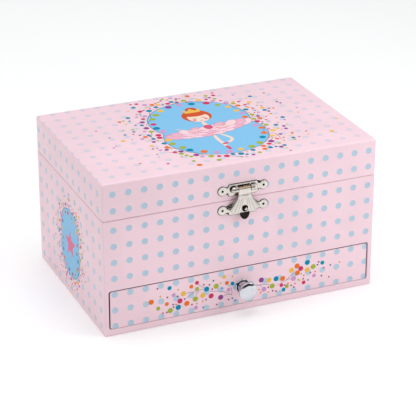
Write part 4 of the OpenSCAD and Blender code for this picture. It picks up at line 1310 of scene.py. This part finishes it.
class JEWEL_OT_inside(BoxOperator, bpy.types.Operator):
    """Line the box and build its dividers, ring rolls, drawer tray and mirror."""

    bl_idname = "jewel.inside"
    bl_label = "Inside"

    def build(self, box):
        inner_w, inner_d = HALF_W - BOARD, HALF_D - BOARD
        tray_z = float(corners("tray_lining")[1][2])
        piece("case_inner_lining", [lining_sleeve(inner_w, inner_d, tray_z, RIM_Z - 1.2)], "Inside_Paper",
              "case")
        lid_low, _ = corners("lid_lining")
        piece("lid_inner_lining", [lining_sleeve(inner_w, inner_d, SEAM_Z + 1.0, float(lid_low[2]))],
              "Inside_Paper", "lid")
        low, high = corners("tray_dividers")
        cross_y = float(high[1])
        parts = [bar((low[0], cross_y - 2, low[2]), (high[0], cross_y, high[2]), 0.8),
                 bar((-20, low[1], low[2]), (-18, cross_y - 2, high[2]), 0.8)]
        piece("tray_divider_boards", parts, "Inside_Paper", "case", ("tray_dividers",))
        low, high = corners("ring_rolls")
        rng = np.random.default_rng(3)
        count, gap = 5, 0.4
        radius = (high[1] - low[1] + gap) / count / 2 - gap / 2
        for k in range(count):
            y = low[1] + radius + k * (2 * radius + gap)
            shape = ring_roll(low[0], high[0], y, high[2] - radius, low[2], radius, rng)
            roll = piece(f"ring_roll_{k + 1}", [shape], "Roll_Velvet", "case", ("ring_rolls",), sharp=60)
        low, high = corners("drawer_sides")
        back_low, back_high = corners("drawer_back")
        parts = [bar((middle - 1.5, low[1], low[2]), (middle + 1.5, high[1], high[2]), 0.6)
                 for middle in (1.5 - high[0], high[0] - 1.5)]
        parts.append(bar(back_low, back_high, 0.6))
        piece("drawer_tray", parts, "Inside_Paper", "drawer", ("drawer_sides", "drawer_back"))
        low, high = corners("mirror")
        piece("lid_mirror", [bevelled_glass(high[0], high[1], high[2], low[2])], "Mirror_Silver", "lid",
              ("mirror",))
        loop = rounded_loop(float(high[0]) + 0.7, float(high[1]) + 0.7, 1.5, 6)
        piece("lid_mirror_frame", [tube(level(loop, high[2] - 0.7), 0.75, 12, closed=True)], "Yellow_Brass",
              "lid")


class JEWEL_OT_stage(BoxOperator, bpy.types.Operator):
    """Build the stage's trim and turntable, and the dancer with her spring and skirt."""

    bl_idname = "jewel.stage"
    bl_label = "Stage and Dancer"

    def build(self, box):
        low, high = corners("stage_top")
        half_w, front, edge_z = float(high[0]), float(low[1]), float(high[2])
        trim = twisted_cord(np.linspace((-half_w, front - 0.7, edge_z - 0.6), (half_w, front - 0.7, edge_z - 0.6),
                                        160), 0.75, 3.2)
        piece("stage_trim", trim, "Yellow_Brass", "case")
        low, high = corners("turntable")
        cx, cy = float(low[0] + high[0]) / 2, float(low[1] + high[1]) / 2
        z0, z1, r = float(low[2]), float(high[2]), float(high[0] - cx)
        disc = [(0, z0), (r - 0.4, z0), (r, z0 + 0.4), (r, z1 - 0.5), (r - 0.25, z1 - 0.15), (r - 0.6, z1),
                (r - 1.6, z1), (r - 1.8, z1 - 0.25), (r - 2.4, z1 - 0.25), (r - 2.6, z1), (0, z1)]
        piece("turntable_disc", [turned(disc, 72, "z", (cx, cy, 0))], "Turntable_Plastic", "cylinder",
              ("turntable",))
        low, high = corners("dancer_spring")
        coil = tube(helix((cx, cy), 1.8, float(low[2]) + 0.35, float(high[2]) - 0.35, 6), 0.35, 10)
        piece("dancer_coil", [coil], "Blued_Steel", "cylinder", ("dancer_spring",))
        self.dancer(cx, cy)

    def dancer(self, cx, cy):
        """The dancer on one toe, from the peg up: limbs, head, bodice, hair and three layers of skirt."""
        base = float(corners("dancer")[0][2])

        def at(*points):
            return [(cx + x, cy + y, base + z) for x, y, z in points]

        def lump(place, radii, rows=8, cols=12):
            return ball(at(place)[0], radii, rows, cols)

        def lathe(profile, flat=1.0):
            points, faces = turned(profile, 40)
            return points * (1, flat, 1) + (cx, cy, base), faces

        skin = limb(at((0, 0, 4), (0.1, 0.1, 7), (-0.1, 0, 10.5), (0, 0, 16)), (0.62, 1.05, 0.85, 1.5))
        skin += limb(at((0.8, 0, 15.6), (4.2, -0.2, 14.4), (7.4, -0.3, 12.7)), (1.5, 1.2, 0.85))
        skin += limb(at((7.4, -0.3, 12.7), (5.6, -0.2, 11.6), (3.6, 0, 10.5)), (0.85, 0.95, 0.55))
        for s in (-1, 1):
            skin += limb(at((s * 2.3, 0, 26.3), (s * 5.2, -0.3, 29.4), (s * 7.2, -0.4, 33.2), (s * 6.2, -0.4, 37.6),
                            (s * 2.6, -0.3, 41.2)), (0.75, 0.62, 0.55, 0.48, 0.4))
            skin.append(lump((s * 1.9, -0.3, 41.6), (0.95, 0.32, 0.4), 10, 16))
        skin.append(lathe([(0, 25.5), (1.9, 25.7), (1.2, 26.8), (0.82, 27.6), (0.8, 30.6), (0, 30.9)]))
        skin.append(lump((0, 0, 33), (2.45, 2.6, 3.0), 24, 36))
        skin.append(lump((0, -2.55, 32.7), (0.26, 0.3, 0.42)))
        piece("dancer_figure", skin, "Skin_Plastic", "cylinder", ("dancer",), sharp=60)
        face = [lump((s * 0.92, -2.36, 33.3), (0.34, 0.14, 0.13)) for s in (-1, 1)]
        face += [lump((s * 0.95, -2.3, 34.1), (0.42, 0.12, 0.08)) for s in (-1, 1)]
        piece("dancer_lashes", face, "Hair_Plastic", "cylinder")
        lips = lump((0, -2.4, 31.55), (0.42, 0.16, 0.14))
        bodice = lathe([(0, 14.6), (1.6, 14.8), (2.3, 16.4), (2.05, 18.2), (1.6, 20.4), (1.95, 22.8), (2.35, 24.8),
                        (2.2, 25.9), (1.5, 26.3), (0, 26.4)], 0.82)
        shoe = lathe([(0, 0.9), (0.5, 0.9), (0.62, 1.3), (0.8, 2.4), (0.78, 3.6), (0.66, 4.6), (0, 4.7)])
        raised = limb(at((3.7, 0, 10.5), (3.0, 0, 10.1), (1.9, 0, 9.4)), (0.62, 0.6, 0.35))
        peg = lathe([(0, 0), (2.4, 0), (2.6, 0.2), (2.6, 0.9), (2.3, 1.2), (0, 1.4)])
        piece("dancer_bodice", [bodice, shoe, *raised, peg, lips], "Bodice_Plastic", "cylinder", sharp=60)
        hair = [lump((0, 0.55, 33.7), (2.7, 2.65, 2.75), 22, 36), lump((0, 0.3, 36.6), (1.45, 1.45, 1.15), 16, 24)]
        piece("dancer_hair", hair, "Hair_Plastic", "cylinder", sharp=60)
        band = turned([(2.0, 0), (2.5, 0.0), (2.5, 0.5), (2.0, 0.5), (2.0, 0)], 40)
        piece("dancer_tiara", [(band[0] * (0.8, 0.8, 1) + at((0, 0.2, 35.6))[0], band[1])], "Yellow_Brass",
              "cylinder")
        self.skirt(cx, cy)

    def skirt(self, cx, cy):
        """Three gathered layers, each cut as a flat ring: its outer edge is the hem, its width the slant."""
        low, high = corners("tutu")
        for k, (reach, drop, folds) in enumerate(((12.4, 0.9, 22), (11.2, 0.3, 20), (9.6, -0.3, 18))):
            layer = ruffle((cx, cy), 1.75, reach, float(high[2]) - 0.5 - 0.25 * k,
                           float(low[2]) + 1.1 - drop * 0.6, folds, 0.42, 1.7 * k)
            skirt = piece(f"dancer_skirt_{k + 1}", [layer], "Pink_Tulle", "cylinder", ("tutu",), sharp=80)
            thick = skirt.modifiers.new("thickness", "SOLIDIFY")
            thick.thickness, thick.offset = 0.12 * MM, 0.0


class JEWEL_OT_fittings(BoxOperator, bpy.types.Operator):
    """Finish the boards, linings, hinges and the musical movement."""

    bl_idname = "jewel.fittings"
    bl_label = "Plain Parts"

    def build(self, box):
        for name, nodes in PLAIN_NODES.items():
            for node in nodes:
                dress(node, name)
        hinge_x, nail_x = 72, 5.5
        for name, node, body in (("case_hinge_nails", "body_hinge_nails", "case"),
                                 ("lid_hinge_nails_domed", "lid_hinge_nails", "lid")):
            low, high = corners(node)
            z = float(low[2] + high[2]) / 2
            parts = [dome_nail(hinge + nail, HALF_D + 0.8, z, 1)
                     for hinge in (-hinge_x, hinge_x) for nail in (-nail_x, nail_x)]
            piece(name, parts, "Champagne_Nickel", body, (node,))


class JEWEL_OT_studio(BoxOperator, bpy.types.Operator):
    """Set up the floor, the soft light and the camera."""

    bl_idname = "jewel.studio"
    bl_label = "Studio"

    def build(self, box):
        self.floor(tuple(box.studio.floor))
        self.surroundings(box.studio.fill)
        self.lights(box.studio)
        self.camera()
        bpy.context.scene.view_settings.view_transform = "Standard"

    def floor(self, color):
        """A wide slab that glows very faintly, so that it stays near white."""
        reach, depth = 6e3, 2.0
        square = np.array([(-reach, -reach), (reach, -reach), (reach, reach), (-reach, reach)])
        points, faces = loft([level(square, z) for z in (-depth, 0.0)])
        mesh = bpy.data.meshes.new("floor")
        mesh.from_pydata((points * MM).tolist(), [], faces)
        f = Finish("Studio_Floor", color, 0.9, emission_color=(1, 1, 1, 1), emission_strength=0.05)
        f.color(f.mix(f.span(f.noise(3.0, 2.0), 0.3, 0.7), color, shade(color, 0.985)))
        mesh.materials.append(f.material)
        floor = bpy.data.objects.new("floor", mesh)
        bpy.context.scene.collection.objects.link(floor)

    def surroundings(self, strength):
        """A soft grey sky by height. Reflections see a second one with a dark band, which gives metal its
        contrast."""
        world = bpy.data.worlds.new("studio")
        bpy.context.scene.world = world
        world.use_nodes = True
        tree = world.node_tree
        background = tree.nodes["Background"]
        background.inputs["Strength"].default_value = strength
        coords = tree.nodes.new("ShaderNodeTexCoord")
        split = tree.nodes.new("ShaderNodeSeparateXYZ")
        tree.links.new(coords.outputs["Generated"], split.inputs[0])
        ramps = []
        for stops in (((0.0, 0.5), (0.4, 1.0)),
                      ((0.0, 0.35), (0.1, 0.05), (0.42, 0.12), (0.62, 1.3), (1.0, 1.0))):
            ramp = tree.nodes.new("ShaderNodeValToRGB")
            tree.links.new(split.outputs[2], ramp.inputs[0])
            for _ in stops[2:]:
                ramp.color_ramp.elements.new(0.5)
            for element, (position, level) in zip(ramp.color_ramp.elements, stops):
                element.position, element.color = position, (level, level, level, 1)
            ramps.append(ramp.outputs[0])
        ray = tree.nodes.new("ShaderNodeLightPath")
        blend = tree.nodes.new("ShaderNodeMix")
        blend.data_type = "RGBA"
        tree.links.new(ray.outputs["Is Glossy Ray"], blend.inputs[0])
        tree.links.new(ramps[0], blend.inputs[6])
        tree.links.new(ramps[1], blend.inputs[7])
        tree.links.new(blend.outputs[2], background.inputs["Color"])

    def lights(self, studio):
        """Three round lights, in metres, that look at the box."""
        for name, place, size, power, tint in (
                ("key", (0.46, -0.42, 0.42), 0.35, studio.key, (1.0, 0.99, 0.98)),
                ("left", (-1.2, 0.1, 0.6), 0.8, studio.left, (1.0, 0.93, 0.86)),
                ("top", (-0.15, 0.1, 1.9), 1.6, studio.top, (0.95, 0.985, 1.0))):
            light = bpy.data.lights.new(name, "AREA")
            light.shape, light.size, light.energy = "DISK", size, power
            light.color = tint
            lamp = bpy.data.objects.new(name, light)
            lamp.location = place
            lamp.rotation_mode = "QUATERNION"
            lamp.rotation_quaternion = (Vector((0, 0, 0.06)) - Vector(place)).to_track_quat("-Z", "Y")
            bpy.context.scene.collection.objects.link(lamp)

    def camera(self):
        """The camera looks at a point above the floor, from an azimuth and elevation, and is moved sideways."""
        azimuth, elevation, tilt = -23.354, 24.559, 0.05
        distance, moved_right, moved_up, aim_z = 1491.7, 3.854, -6.593, 66
        az, el, roll = (math.radians(angle) for angle in (azimuth, elevation, tilt))
        back = Vector((math.sin(az) * math.cos(el), -math.cos(az) * math.cos(el), math.sin(el)))
        right = Vector((0, 0, 1)).cross(back).normalized()
        up = back.cross(right)
        camera = bpy.data.objects.new("camera", bpy.data.cameras.new("camera"))
        camera.data.sensor_width, camera.data.lens = 36.0, 152.28
        camera.data.clip_start, camera.data.clip_end = 0.05, 50.0
        turned_right = right * math.cos(roll) + up * math.sin(roll)
        turned_up = back.cross(turned_right)
        camera.rotation_mode = "QUATERNION"
        camera.rotation_quaternion = Matrix((turned_right, turned_up, back)).transposed().to_quaternion()
        camera.location = (back * distance + right * moved_right + up * moved_up + Vector((0, 0, aim_z))) * MM
        bpy.context.scene.collection.objects.link(camera)
        bpy.context.scene.camera = camera


OPERATORS = (JEWEL_OT_studio, JEWEL_OT_case, JEWEL_OT_lid, JEWEL_OT_drawer, JEWEL_OT_lid_print,
             JEWEL_OT_side_print, JEWEL_OT_clasp, JEWEL_OT_knob, JEWEL_OT_inside, JEWEL_OT_stage,
             JEWEL_OT_fittings)


class JEWEL_PT_box(bpy.types.Panel):
    """Sizes, colours and operators of the jewellery box."""

    bl_label = "Jewellery Box"
    bl_space_type = "VIEW_3D"
    bl_region_type = "UI"
    bl_category = "Jewellery Box"

    def draw(self, context):
        box = context.scene.jewellery_box
        for group in (box.covers, box.prints, box.studio):
            column = self.layout.column(align=True)
            for key in group.__annotations__:
                column.prop(group, key)
        for operator in OPERATORS:
            self.layout.operator(operator.bl_idname)


CLASSES = (CoverSettings, PrintSettings, StudioSettings, BoxSettings, *OPERATORS, JEWEL_PT_box)


def register():
    for cls in CLASSES:
        bpy.utils.register_class(cls)
    bpy.types.Scene.jewellery_box = PointerProperty(type=BoxSettings)


def unregister():
    del bpy.types.Scene.jewellery_box
    for cls in reversed(CLASSES):
        bpy.utils.unregister_class(cls)


def main():
    register()
    for operator in OPERATORS:
        group, name = operator.bl_idname.split(".")
        getattr(getattr(bpy.ops, group), name)()


if __name__ == "__main__":
    main()
